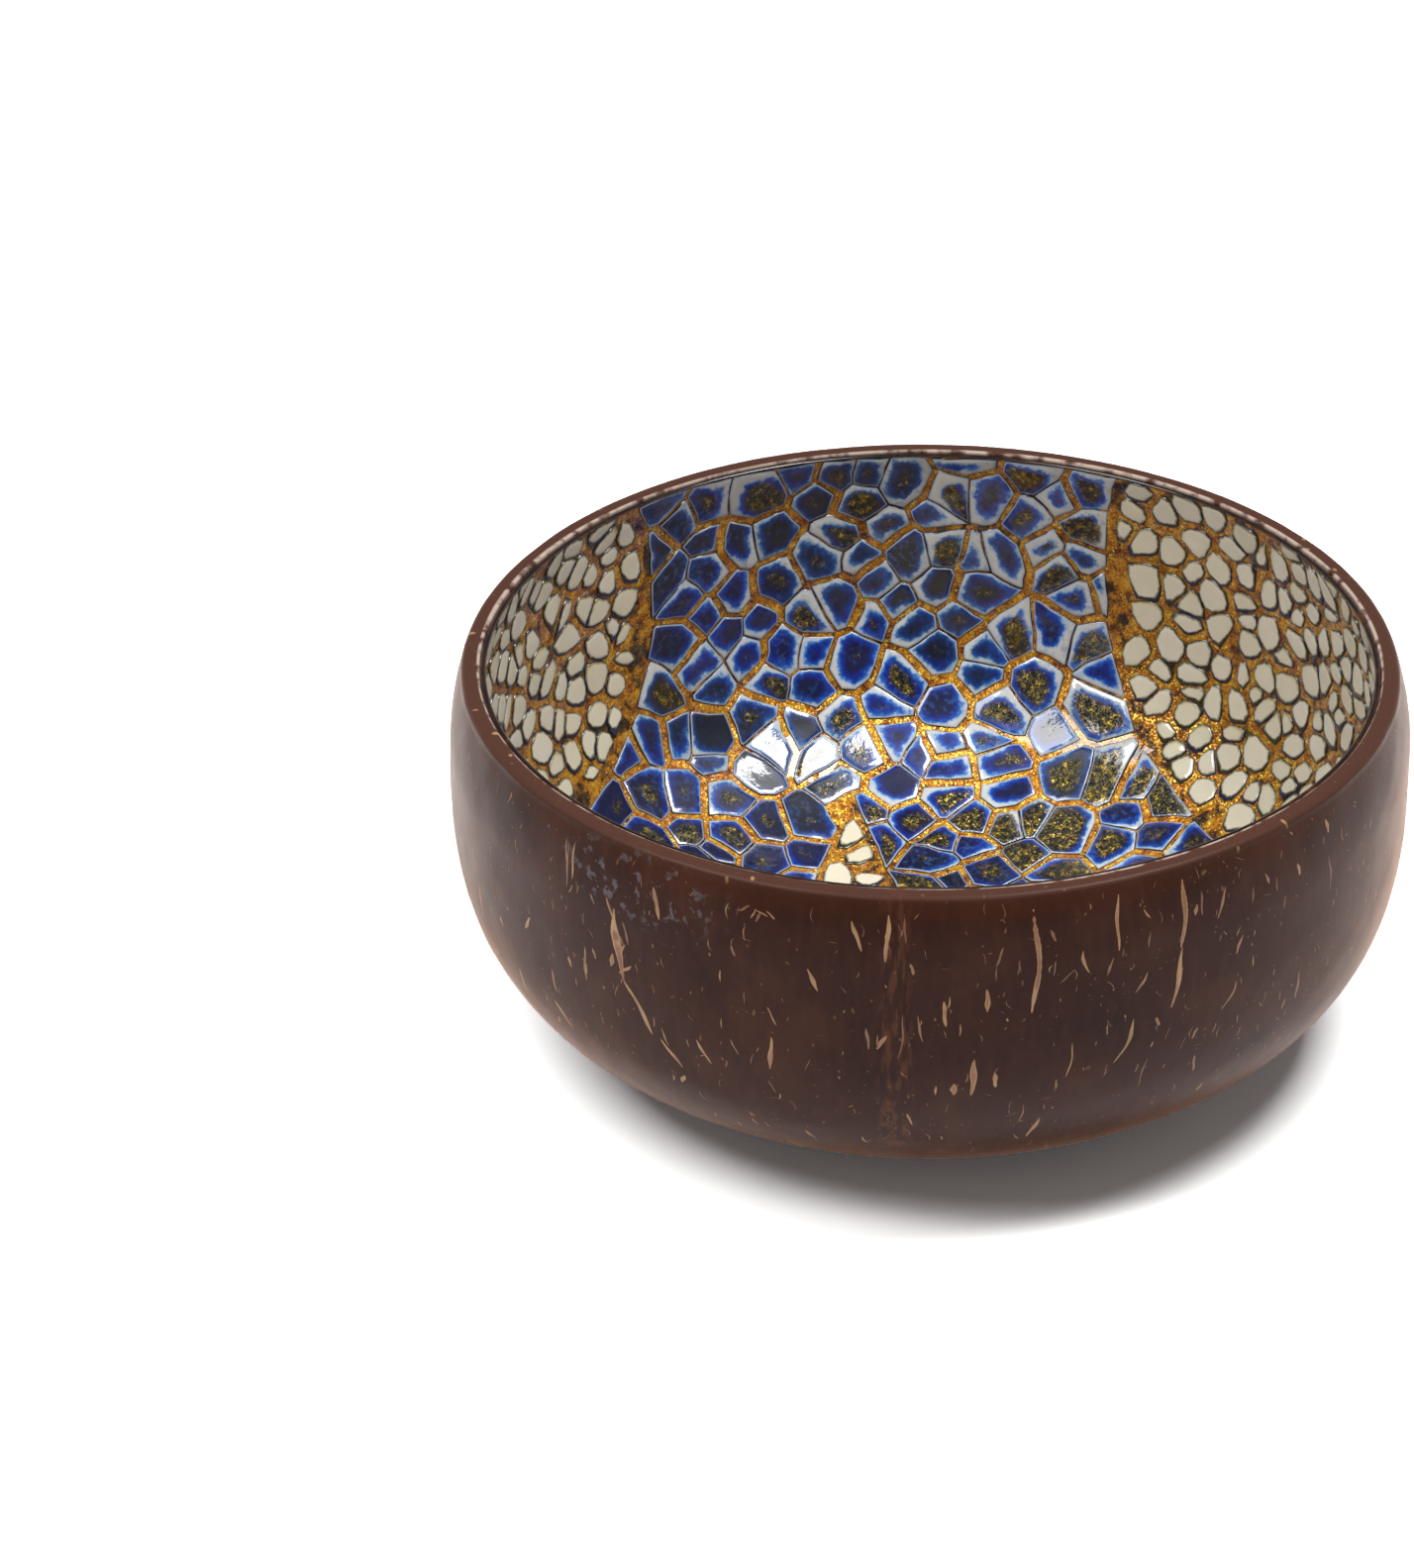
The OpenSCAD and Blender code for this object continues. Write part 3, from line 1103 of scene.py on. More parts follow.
@dataclass
class Fibres:
    """The tan fibres in the outside of the shell, as thin lens-shaped slivers."""

    large_steps: int = 12
    small_steps: int = 6
    large_across: tuple[float, ...] = (-1.0, -0.5, 0.0, 0.5, 1.0)
    small_across: tuple[float, ...] = (-1.0, 0.0, 1.0)
    proud: float = 0.03
    edge_sunk: float = 0.01
    sunk: float = 0.12
    table_rows: int = 400
    table_upper_rows: int = 80
    rim_margin: float = 1.0
    sway_share: float = 0.015
    sway_turn: float = 7.0
    taper: float = 0.6
    swell: float = 0.2
    swell_turn: float = 9.0
    swell_spread: float = 3.0
    least_r: float = 5.0
    blunt_width: float = 0.02
    blunt_height: float = 0.05
    probe: float = 0.05
    broad_w: float = 0.9
    tone_seed: int = 27
    middling: Lot = Lot(240, 21, 0.0, 9.0, (4.0, 49.0), (1.5, 6.5), 3, (0.25, 0.5), 50.0, 0.5)
    small: FleckLot = FleckLot(1300, 31, 0.3, 5.0, (1.5, 52.5), (0.45, 1.9), 2, (0.13, 0.24), 180.0, 2.4)
    named: tuple[Fibre, ...] = (
        Fibre(-94.4, 52.6, 6.5, 3, 0.75, 0.1),
        Fibre(-92.6, 52.4, 3.5, -4, 0.35),
        Fibre(-77.5, 52.8, 15.0, 1, 0.95, 0.15),
        Fibre(-67.4, 53.0, 7.8, 2, 0.6, -0.1),
        Fibre(-68.3, 44.4, 2.6, 18, 0.4),
        Fibre(-58.9, 52.9, 9.6, 4, 0.95, 0.1),
        Fibre(-59.4, 43.4, 9.0, 8, 0.8, 0.1),
        Fibre(-84.4, 31.2, 6.2, 2, 1.0),
        Fibre(-88.0, 40.4, 3.8, -4, 0.65),
        Fibre(-83.1, 42.0, 3.4, -2, 0.75),
        Fibre(-128.6, 45.4, 10.6, -8, 1.5, -0.2),
        Fibre(-129.9, 46.6, 3.6, -26, 0.5),
        Fibre(-127.3, 44.0, 3.4, -16, 0.45),
        Fibre(-127.0, 40.6, 2.6, 34, 0.6),
        Fibre(-126.2, 37.6, 2.8, 48, 0.7),
        Fibre(-128.9, 38.4, 2.2, 10, 0.8),
        Fibre(-127.4, 35.0, 8.5, -30, 0.9, 0.2),
        Fibre(-110.8, 51.7, 1.6, 50, 0.5),
        Fibre(-110.0, 51.3, 1.9, -70, 0.6),
        Fibre(-109.4, 51.0, 1.4, 20, 0.45),
        Fibre(-108.6, 51.4, 1.5, -50, 0.4),
        Fibre(-111.4, 51.0, 1.2, 75, 0.4),
        Fibre(-122.6, 27.4, 5.0, -35, 0.7),
        Fibre(-117.6, 29.3, 4.0, -28, 0.6),
        Fibre(-65.4, 34.2, 7.0, 20, 0.6, 0.5),
        Fibre(-75.7, 49.8, 1.8, -20, 0.5),
        Fibre(-71.9, 46.2, 3.4, -14, 0.5, -0.7),
        Fibre(-73.0, 43.6, 2.6, 48, 0.4),
        Fibre(-140.6, 24.6, 4.0, -30, 0.9),
        Fibre(-51.5, 35.3, 4.5, 30, 0.5, 0.6),
        Fibre(-76.0, 19.3, 5.0, 14, 0.7),
        Fibre(-105.3, 16.0, 3.4, -24, 0.7),
        Fibre(-56.6, 50.6, 3.4, 2, 0.4),
        Fibre(-53.1, 50.0, 4.4, 22, 0.5),
        Fibre(-137.0, 51.5, 6.4, -6, 0.45, 0.3),
        Fibre(-135.8, 51.8, 5.2, -4, 0.4),
        Fibre(-63.9, 41.0, 3.2, 32, 0.45, 0.3),
        Fibre(-96.8, 36.0, 3.4, -6, 0.5),
        Fibre(-82.0, 28.8, 2.6, -4, 0.7),
        Fibre(-86.7, 27.2, 2.0, 0, 0.95),
    )

    def build(self, finish: bpy.types.Material) -> None:
        """Builds the long fibres as one piece and the flecks as another.

        Args:
            finish: their material.
        """
        large = list(self.named) + self.middling.fibres()
        self.lay("husk_fibres", large, self.large_steps, self.large_across, finish)
        self.lay("husk_flecks", self.small.fibres(), self.small_steps, self.small_across, finish)

    def on_wall(self, table: Array, run: Array, along: Array) -> tuple[Array, Array, Array, Array]:
        """Where lengths along the shell's curve lie on it.

        Args:
            table: (radius, height) rows of the curve.
            run: the length along it at each row.
            along: the lengths.

        Returns:
            The radius and the height, and the curve's normal there as radius and height.
        """
        r, z = (np.interp(along, run, column) for column in table.T)
        dr, dz = (
            np.interp(along + self.probe, run, column) - np.interp(along - self.probe, run, column)
            for column in table.T
        )
        size = np.hypot(dr, dz)
        return r, z, dz / size, -dr / size

    def lay(
        self,
        name: str,
        fibres: list[Fibre],
        steps: int,
        shares: tuple[float, ...],
        finish: bpy.types.Material,
    ) -> bpy.types.Object:
        """Builds every fibre of a list as one closed sliver.

        Along a sliver the share t runs from 0 to 1. Its middle line runs down the curve of the
        shell with a lean and a bend, which draws its middle aside by a sixth of the length at 1,
        and its half width is width / 2 * (sin(pi t))^taper. Both waver a little.

        Args:
            name: name of the piece.
            fibres: its fibres.
            steps: points along each.
            shares: places across each, from -1 to 1.
            finish: its material.

        Returns:
            The new object.
        """
        table = CURVE.points(0, CURVE.height, self.table_rows, self.table_upper_rows)
        run = np.r_[0, np.cumsum(np.hypot(*np.diff(table, axis=0).T))]
        values = np.array([[f.azimuth, f.height, f.length, f.lean, f.width, f.bend] for f in fibres])
        azimuth, height, length, lean, width, bend = values.T[..., None]
        t = np.linspace(0, 1, steps)[None]
        top = np.interp(np.minimum(height, CURVE.height - self.rim_margin), table[:, 1], run)
        down = length * t
        s = top - down * np.cos(np.radians(lean))
        side = -down * np.sin(np.radians(lean)) + bend * np.sin(np.pi * t) * length / 6
        side += self.sway_share * length * np.sin(self.sway_turn * t + azimuth)
        open_t = np.clip(t, self.blunt_width, 1 - self.blunt_width)
        half = width / 2 * (np.sin(np.pi * open_t) ** self.taper)
        half *= 1 + self.swell * np.sin(self.swell_turn * t + self.swell_spread * azimuth)
        across = np.array(shares)
        lift = self.proud * (1 - across**4) - self.edge_sunk
        aside = side[..., None] + half[..., None] * across
        high_t = np.clip(t, self.blunt_height, 1 - self.blunt_height)
        depth = lift * np.sin(np.pi * high_t)[..., None] + 0 * aside
        r, z, out, up = self.on_wall(table, run, s[..., None])
        angle = np.radians(azimuth)[..., None] + aside / np.maximum(r, self.least_r)
        uneven = Shell.uneven(np.stack([r * np.cos(angle), r * np.sin(angle), z + 0 * angle], -1))
        sheets = []
        for level in (depth + uneven, uneven - self.sunk + 0 * depth):
            wide, high = r + out * level, z + up * level
            sheets.append(np.stack([wide * np.cos(angle), wide * np.sin(angle), high], -1))
        points = np.stack(sheets, 1)
        faces = self.faces(len(fibres), steps, len(shares))
        piece = make_piece(name, points.reshape(-1, 3), faces, finish, "coconut_shell")
        shape = points.shape[:-1]
        core = np.broadcast_to(np.abs(across), shape)
        tone = chance(np.arange(len(fibres), dtype=float), self.tone_seed)[:, None, None, None]
        tone = np.broadcast_to(tone, shape)
        broad = np.broadcast_to((width / self.broad_w)[..., None, None], shape)
        set_vectors(piece, "fibre", np.stack([core, tone, broad], -1))
        return piece

    @staticmethod
    def faces(count: int, n: int, w: int) -> list:
        """The faces of like slivers: an upper sheet, an under sheet and the walls between.

        Args:
            count: number of slivers.
            n: points along each.
            w: points across each.

        Returns:
            Rows of point numbers.
        """
        i, j = np.meshgrid(np.arange(n - 1), np.arange(w - 1), indexing="ij")
        a = (i * w + j).ravel()
        upper = np.column_stack([a, a + 1, a + w + 1, a + w])
        lower = upper[:, ::-1] + n * w
        start, right = np.arange(w), np.arange(2 * w - 1, n * w, w)
        end, left = np.arange(n * w - 2, (n - 1) * w - 1, -1), np.arange((n - 2) * w, 0, -w)
        rim = np.r_[start, right, end, left]
        after = np.roll(rim, -1)
        walls = np.column_stack([rim, rim + n * w, after + n * w, after])
        one = np.vstack([upper, lower, walls])
        first = np.arange(count)[:, None, None] * 2 * n * w
        return (first + one[None]).reshape(-1, 4).tolist()


@dataclass
class Lining:
    """The gold ground lacquer that the mosaic is bedded in, and the clear coat's bead."""

    columns: int = 600
    rows: int = 116
    upper_rows: int = 14
    under_rows: int = 30
    under_upper_rows: int = 5
    lip_drop: float = 0.1
    lip_in: float = 0.12
    ripples: tuple[tuple[float, float, float], ...] = ((0.03, 2.6, 0.2), (0.04, 5.2, 1.0))
    blur: float = 1.5
    bead_points: int = 16
    bead_rise: float = 0.12
    bead_half_h: float = 0.26
    bead_bite: float = 0.02
    bead_lean: float = 0.105

    def build_ground(self, finish: bpy.types.Material, layout: Layout) -> bpy.types.Object:
        """Builds the ground: a closed skin whose inside is drawn with fine ripples.

        Args:
            finish: its material.
            layout: the mosaic's layout, which says where the gold joints run.

        Returns:
            The new object.
        """
        top = LINING_TOP
        inner = CURVE.points(LAYERS.ground_top, top - self.lip_drop, self.rows, self.upper_rows)
        outer = CURVE.points(LAYERS.ground_depth, top, self.under_rows, self.under_upper_rows)[::-1]
        lip = np.array([[CURVE.upper_r(LAYERS.ground_top - self.lip_in, top), top]])
        profile = np.vstack([inner, lip, outer])
        points, faces = revolve(profile[::-1], self.columns)
        place, normal = BED.settle(points)
        lift = sum(size * ripple(points, wave, seed) for size, wave, seed in self.ripples)
        points = points + normal * lift[:, None]
        points[:, 2] = np.minimum(points[:, 2], top)
        piece = make_piece("gold_ground", points, faces, finish, "gold_lacquer")
        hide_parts("ground_lacquer")
        left, right, wedge_left, wedge_right = layout.borders.gaps(points)
        wedge = np.minimum(np.minimum(wedge_left, -wedge_right), layout.borders.tip[1] - points[:, 1])
        white = np.maximum(np.maximum(-left, right), wedge)
        set_floats(piece, "pebbled", np.clip(white / self.blur + 0.5, 0, 1))
        poles = len(points) - 2
        apart = layout.apart(place[:poles].reshape(-1, self.columns, 3)).ravel()
        set_floats(piece, "apart", np.r_[apart, apart[[0, -1]]])
        return piece

    def build_bead(self, finish: bpy.types.Material) -> bpy.types.Object:
        """Builds the bead in which the clear coat ends below the rim: a round-nosed ring.

        Its section is an ellipse between the shell and the face of the mosaic, which leans
        down towards the shell.

        Args:
            finish: its material.

        Returns:
            The new object.
        """
        z = LINING_TOP + self.bead_rise
        centre = CURVE.upper_r((LAYERS.ground_depth + LAYERS.tile_top) / 2, z)
        half_r = (LAYERS.tile_top - LAYERS.ground_depth) / 2 + self.bead_bite
        count = self.bead_points
        b = 2 * np.pi * np.arange(count) / count
        r = centre + half_r * np.cos(b)
        h = z + self.bead_half_h * np.sin(b) - self.bead_lean * (r - centre)
        a = 2 * np.pi * np.arange(self.columns) / self.columns
        x = r[None] * np.cos(a)[:, None]
        y = r[None] * np.sin(a)[:, None]
        points = np.stack([x, y, np.broadcast_to(h, x.shape)], -1).reshape(-1, 3)
        i, j = np.meshgrid(np.arange(self.columns), np.arange(count), indexing="ij")
        i2, j2 = (i + 1) % self.columns, (j + 1) % count
        corners = [i * count + j, i2 * count + j, i2 * count + j2, i * count + j2]
        faces = np.stack(corners, -1).reshape(-1, 4)
        piece = make_piece("clear_coat_bead", points, faces, finish, "clear_lacquer")
        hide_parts("clear_lacquer")
        return piece


def add(
    tree: bpy.types.NodeTree, kind: str, inputs: dict | None = None, out: int | str = 0, **settings
) -> Socket | None:
    """Adds a node with its settings and its inputs.

    Args:
        tree: the node tree.
        kind: the node's type, less its prefix.
        inputs: input name or number to a value, a hex colour or the socket that feeds it.
        out: name or number of the output that is asked for.
        settings: properties of the node.

    Returns:
        That output, or None for a node that has none.
    """
    made = tree.nodes.new("ShaderNode" + kind)
    for name, value in settings.items():
        setattr(made, name, value)
    for name, value in (inputs or {}).items():
        if isinstance(value, Socket):
            tree.links.new(value, made.inputs[name])
        else:
            made.inputs[name].default_value = linear(value) if isinstance(value, str) else value
    return made.outputs[out] if made.outputs else None


class Finish:
    """A finish: a material whose nodes a sub-class adds, with places in millimetres.

    Metal flakes are drawn 0.2 mm coarse, as fine as the picture can hold. A step is a pair of
    values, at which something begins and at which it is whole.
    """

    name = "finish"
    flake_w = 0.2
    flake_tilt = 0.6
    relief_h = 0.2

    def build(self) -> bpy.types.Material:
        """Makes the material.

        Returns:
            The material.
        """
        made = bpy.data.materials.new(self.name)
        made.use_nodes = True
        self.tree = made.node_tree
        self.tree.nodes.clear()
        where = self.add("TexCoord", out="Object")
        self.place = self.add("VectorMath", {0: where, 1: (1 / MM,) * 3}, operation="MULTIPLY")
        self.add("OutputMaterial", {"Surface": self.surface()})
        return made

    def add(self, kind: str, inputs: dict | None = None, out: int | str = 0, **settings) -> Socket | None:
        """Adds a node to this finish."""
        return add(self.tree, kind, inputs, out, **settings)

    def surface(self) -> Socket:
        """Adds the nodes and returns the shader."""
        raise NotImplementedError

    def sized(self, size: float, detail: float | None = 2.0, place: Socket | None = None) -> dict:
        """The inputs of a pattern whose clouds or cells are about a given size across.

        Args:
            size: the size in millimetres.
            detail: its detail, or None for a pattern that has none.
            place: where it lies, if not on the plain places.

        Returns:
            Input name to value.
        """
        inputs = {"Vector": place or self.place, "Scale": 1 / size}
        return inputs if detail is None else {**inputs, "Detail": detail}

    def swing(self, size: float, detail: float = 2.0) -> Socket:
        """Clouds of a given size and detail as a number on both sides of 0."""
        clouds = self.add("TexNoise", self.sized(size, detail), "Fac")
        return self.add("Math", {0: clouds, 1: 0.5}, operation="SUBTRACT")

    def total(self, start: Socket | float, *terms: tuple[Socket, float]) -> Socket:
        """Adds some terms to a number or a socket.

        Args:
            start: what they are added to.
            terms: the terms, each a socket and its weight.

        Returns:
            The sum.
        """
        for value, weight in terms:
            start = self.add("Math", {0: value, 1: weight, 2: start}, operation="MULTIPLY_ADD")
        return start

    def product(self, *shares: Socket | float | tuple[Socket, float, float]) -> Socket | float:
        """Multiplies some shares.

        Args:
            shares: numbers, sockets, or a socket with the values at which a smooth step
                from 0 to 1 begins and ends.

        Returns:
            The product.
        """
        result = None
        for share in shares:
            if isinstance(share, tuple):
                inputs = dict(zip(("Value", "From Min", "From Max"), share))
                share = self.add("MapRange", inputs, interpolation_type="SMOOTHSTEP")
            if result is None:
                result = share
            else:
                result = self.add("Math", {0: result, 1: share}, operation="MULTIPLY")
        return result

    def paint(self, base: Socket | str, coat: Socket | str, *shares: object) -> Socket:
        """Lays a coat over a base as far as the product of some shares; both are colours."""
        return self.add("Mix", {0: self.product(*shares), 6: base, 7: coat}, 2, data_type="RGBA")

    def shade(self, value: Socket, stops: tuple, ease: bool = True) -> Socket:
        """Colours a value by stops, each a value and a hex colour.

        Args:
            value: the value.
            stops: the stops, lowest first.
            ease: True to blend them softly, False to blend them evenly.

        Returns:
            The colour.
        """
        low, high = stops[0][0], stops[-1][0]
        share = self.add("MapRange", {"Value": value, "From Min": low, "From Max": high})
        colour = self.add("ValToRGB", {"Fac": share}, "Color")
        band = colour.node.color_ramp
        band.interpolation = "EASE" if ease else "LINEAR"
        for i, (at, code) in enumerate(stops):
            element = band.elements[i] if i < 2 else band.elements.new(1.0)
            element.position = (at - low) / (high - low)
            element.color = linear(code)
        return colour

    def flakes(self, *shares: object) -> tuple[Socket, Socket]:
        """Metal flakes: a random number for each, and its tilted normal.

        Args:
            shares: how far they show, as for a product.

        Returns:
            The number and the normal.
        """
        colour = self.add("TexVoronoi", self.sized(self.flake_w, None), "Color")
        number = self.add("SeparateXYZ", {0: colour})
        off = self.add("VectorMath", {0: colour, 1: (0.5, 0.5, 0.5)}, operation="SUBTRACT")
        tilt = self.product(self.flake_tilt, *shares)
        small = self.add("VectorMath", {0: off, "Scale": tilt}, operation="SCALE")
        straight = self.add("NewGeometry", out="Normal")
        turned = self.add("VectorMath", {0: straight, 1: small}, operation="ADD")
        return number, self.add("VectorMath", {0: turned}, operation="NORMALIZE")

    def relief(
        self, size: float, strength: float, detail: float = 3.0, place: Socket | None = None
    ) -> Socket:
        """Fine ups and downs of a given size, as a normal.

        Args:
            size: the size in millimetres.
            strength: how much of their full height shows.
            detail: their detail.
            place: where they lie, if not on the plain places.

        Returns:
            The normal.
        """
        height = self.add("TexNoise", self.sized(size, detail, place), "Fac")
        return self.add("Bump", {"Height": height, "Strength": strength, "Distance": self.relief_h * MM})

    def distance(self, middle: tuple, weights: tuple) -> Socket:
        """Distance from a spot in millimetres.

        Args:
            middle: the spot.
            weights: how much the distance along each axis counts.

        Returns:
            The distance.
        """
        away = self.add("VectorMath", {0: self.place, 1: middle}, operation="SUBTRACT")
        drawn = self.add("VectorMath", {0: away, 1: weights}, operation="MULTIPLY")
        return self.add("VectorMath", {0: drawn}, "Value", operation="LENGTH")


class BlueEggshell(Finish):
    """Eggshell tinted cobalt blue, pale at its broken edges, with gold dust in its middle.

    The tint grows with the depth from a chip's edge, and most where the floor meets the
    back wall. The clear coat over it gives sharp reflections on every chip.
    """

    name = "cobalt_tinted_eggshell"
    deepest_y = 18.0
    deepest = 2.1
    shallowest = 0.85
    fall = -0.028
    gold_step = (0.9, 1.85)
    margin_step = (0.12, 0.34)
    stain_step = (0.02, 0.12)
    cobalt = (
        (0.3, "#d0cfc8"), (0.62, "#aabdd6"), (0.88, "#3a78c4"),
        (1.15, "#0440a4"), (1.6, "#011c7c"), (2.2, "#01083e"),
    )
    teal = (
        (0.3, "#cfcfc8"), (0.62, "#a0b5c6"), (0.88, "#366ea8"),
        (1.15, "#063880"), (1.6, "#021f52"), (2.2, "#010c22"),
    )
    dust = ((0.3, "#080d10"), (0.48, "#16190d"), (0.6, "#40380e"), (0.72, "#8a7218"), (0.84, "#e8c238"))

    def surface(self) -> Socket:
        """Pale margin, blurred into blue, and olive gold where the middle is deep enough.

        Returns:
            The shader.
        """
        edge = self.add("Attribute", out="Fac", attribute_name="edge")
        soft = self.add("Attribute", out="Fac", attribute_name="soft")
        chip = self.add("Attribute", out="Vector", attribute_name="chip")
        first, second, third = self.add("SeparateXYZ", {0: chip}).node.outputs
        aside, towards, _ = self.add("SeparateXYZ", {0: self.place}).node.outputs
        wide = self.swing(1.9)
        fine = self.swing(0.45, 4.0)
        off = self.add("Math", {0: towards, 1: self.deepest_y}, operation="SUBTRACT")
        off = self.add("Math", {0: off}, operation="ABSOLUTE")
        forward = self.total(self.deepest, (off, self.fall))
        forward = self.add("Math", {0: forward, 1: self.shallowest}, operation="MAXIMUM")
        forward = self.total(forward, (aside, -0.004))
        depth = self.total(soft, (wide, 1.9), (fine, 0.7), (first, -0.8), (forward, 1.0))
        cobalt, teal = self.shade(depth, self.cobalt), self.shade(depth, self.teal)
        colour = self.paint(cobalt, teal, (self.add("TexNoise", self.sized(19.0), "Fac"), 0.44, 0.6))
        wash = self.add("TexNoise", self.sized(0.8, 5.0), "Fac")
        colour = self.paint(colour, "#2c63b4", (wash, 0.5, 0.7), third, 0.55)
        middle = self.total(soft, (second, -3.2), (forward, 1.0), (aside, 0.026), (wide, -1.6), (fine, 1.0))
        dusted = self.product((middle, *self.gold_step), 0.94)
        number, normal = self.flakes(dusted)
        strokes = self.add("TexNoise", self.sized(0.9, 4.0), "Fac")
        brushed = self.total(self.product(strokes, 0.86), (number, 0.28))
        colour = self.paint(colour, self.shade(brushed, self.dust, False), dusted)
        colour = self.paint("#a6b6cc", colour, (edge, *self.margin_step))
        colour = self.paint("#2e1c0c", colour, (edge, *self.stain_step))
        return self.add("BsdfPrincipled", {
            "Base Color": colour,
            "Metallic": self.product(dusted, 0.4),
            "Roughness": 0.35,
            "Normal": normal,
            "Coat Normal": self.relief(0.9, 0.1),
            **CLEAR_COAT,
        })


class WhiteEggshell(Finish):
    """Ivory eggshell, its rim stained navy and olive where the lacquer crept over it."""

    name = "ivory_eggshell"
    rim_step = (0.0, 0.2)
    stain_step = (0.16, 0.42)
    gilt_step = (0.75, 0.15)

    def surface(self) -> Socket:
        """Dark rim, blurred into ivory, with gold at the upper edge of some pebbles.

        Returns:
            The shader.
        """
        edge = self.add("Attribute", out="Fac", attribute_name="edge")
        upward = self.add("Attribute", out="Fac", attribute_name="upward")
        chip = self.add("Attribute", out="Vector", attribute_name="chip")
        first, second, third = self.add("SeparateXYZ", {0: chip}).node.outputs
        depth = self.total(edge, (self.swing(0.7, 3.0), 0.4))
        ivory = self.paint("#f1e9d3", "#e4dabf", self.add("TexNoise", self.sized(2.2, 3.0), "Fac"))
        ivory = self.paint(ivory, "#d3c9a0", third, 0.3)
        above = self.add("Math", {0: upward, 1: 0.0}, operation="MAXIMUM")
        chosen = self.add("Math", {0: third, 1: 0.45}, operation="SUBTRACT")
        ivory = self.paint(ivory, "#c8a530", (depth, *self.gilt_step), above, chosen, 1.8)
        below = self.add("Math", {0: upward, 1: 0.0}, operation="MINIMUM")
        sunk = self.total(depth, (self.product(below, first), 0.5))
        stained = self.paint("#8d8a6c", ivory, (sunk, *self.stain_step))
        navy = self.add("Math", {0: second, 1: 0.4}, operation="GREATER_THAN")
        rim = self.paint("#2c280f", "#10183c", navy)
        return self.add("BsdfPrincipled", {
            "Base Color": self.paint(rim, stained, (sunk, *self.rim_step)),
            "Roughness": 0.32,
            "Coat Normal": self.relief(1.1, 0.1),
            **CLEAR_COAT,
        })


class GoldLacquer(Finish):
    """Amber lacquer strewn with gold dust, dark olive between the white pebbles."""

    name = "gold_dust_lacquer"
    # The distances from a joint's middle at which the painted glints begin and are whole.
    painted_glint_step = (0.4, 0.15)
    dark_step = (1.0, 1.35)
    amber = ((0.34, "#582c04"), (0.46, "#a45c08"), (0.56, "#cb8210"), (0.68, "#e2a41f"), (0.8, "#f8cc48"))
    olive = ((0.36, "#0a0c0a"), (0.52, "#2a200a"), (0.64, "#5c440c"), (0.74, "#a47a14"), (0.84, "#e2b830"))

    def surface(self) -> Socket:
        """Amber with lighter and darker clouds, painted glints by the joints, and dark patches.

        Returns:
            The shader.
        """
        pebbled = self.add("Attribute", out="Fac", attribute_name="pebbled")
        apart = self.add("Attribute", out="Fac", attribute_name="apart")
        clouds = self.add("TexNoise", self.sized(1.7, 4.0), "Fac")
        number, normal = self.flakes()
        mixed = self.total(self.product(clouds, 0.88), (number, 0.2))
        # The next lines paint glints: pale yellow specks on some flakes, strongest along the joints'
        # middles, a painted highlight.
        painted_glint_band = self.product((apart, *self.painted_glint_step))
        painted_glint_band = self.add("Math", {0: painted_glint_band, 1: 0.25}, operation="MAXIMUM")
        strewn = (self.add("TexNoise", self.sized(0.9), "Fac"), 0.48, 0.58)
        amber = self.shade(mixed, self.amber, False)
        colour = self.paint(amber, "#ffe45c", (number, 0.5, 0.6), strewn, painted_glint_band)
        patches = (self.add("TexNoise", self.sized(2.6, 4.0), "Fac"), 0.44, 0.6)
        dark = self.paint("#24140a", self.shade(mixed, self.olive, False), pebbled)
        away = self.total(apart, (clouds, 1.0))
        return self.add("BsdfPrincipled", {
            "Base Color": self.paint(colour, dark, (away, *self.dark_step), patches, 0.95),
            "Metallic": 0.4,
            "Roughness": 0.34,
            "Normal": normal,
            **CLEAR_COAT,
            "Coat Roughness": 0.04,
        })


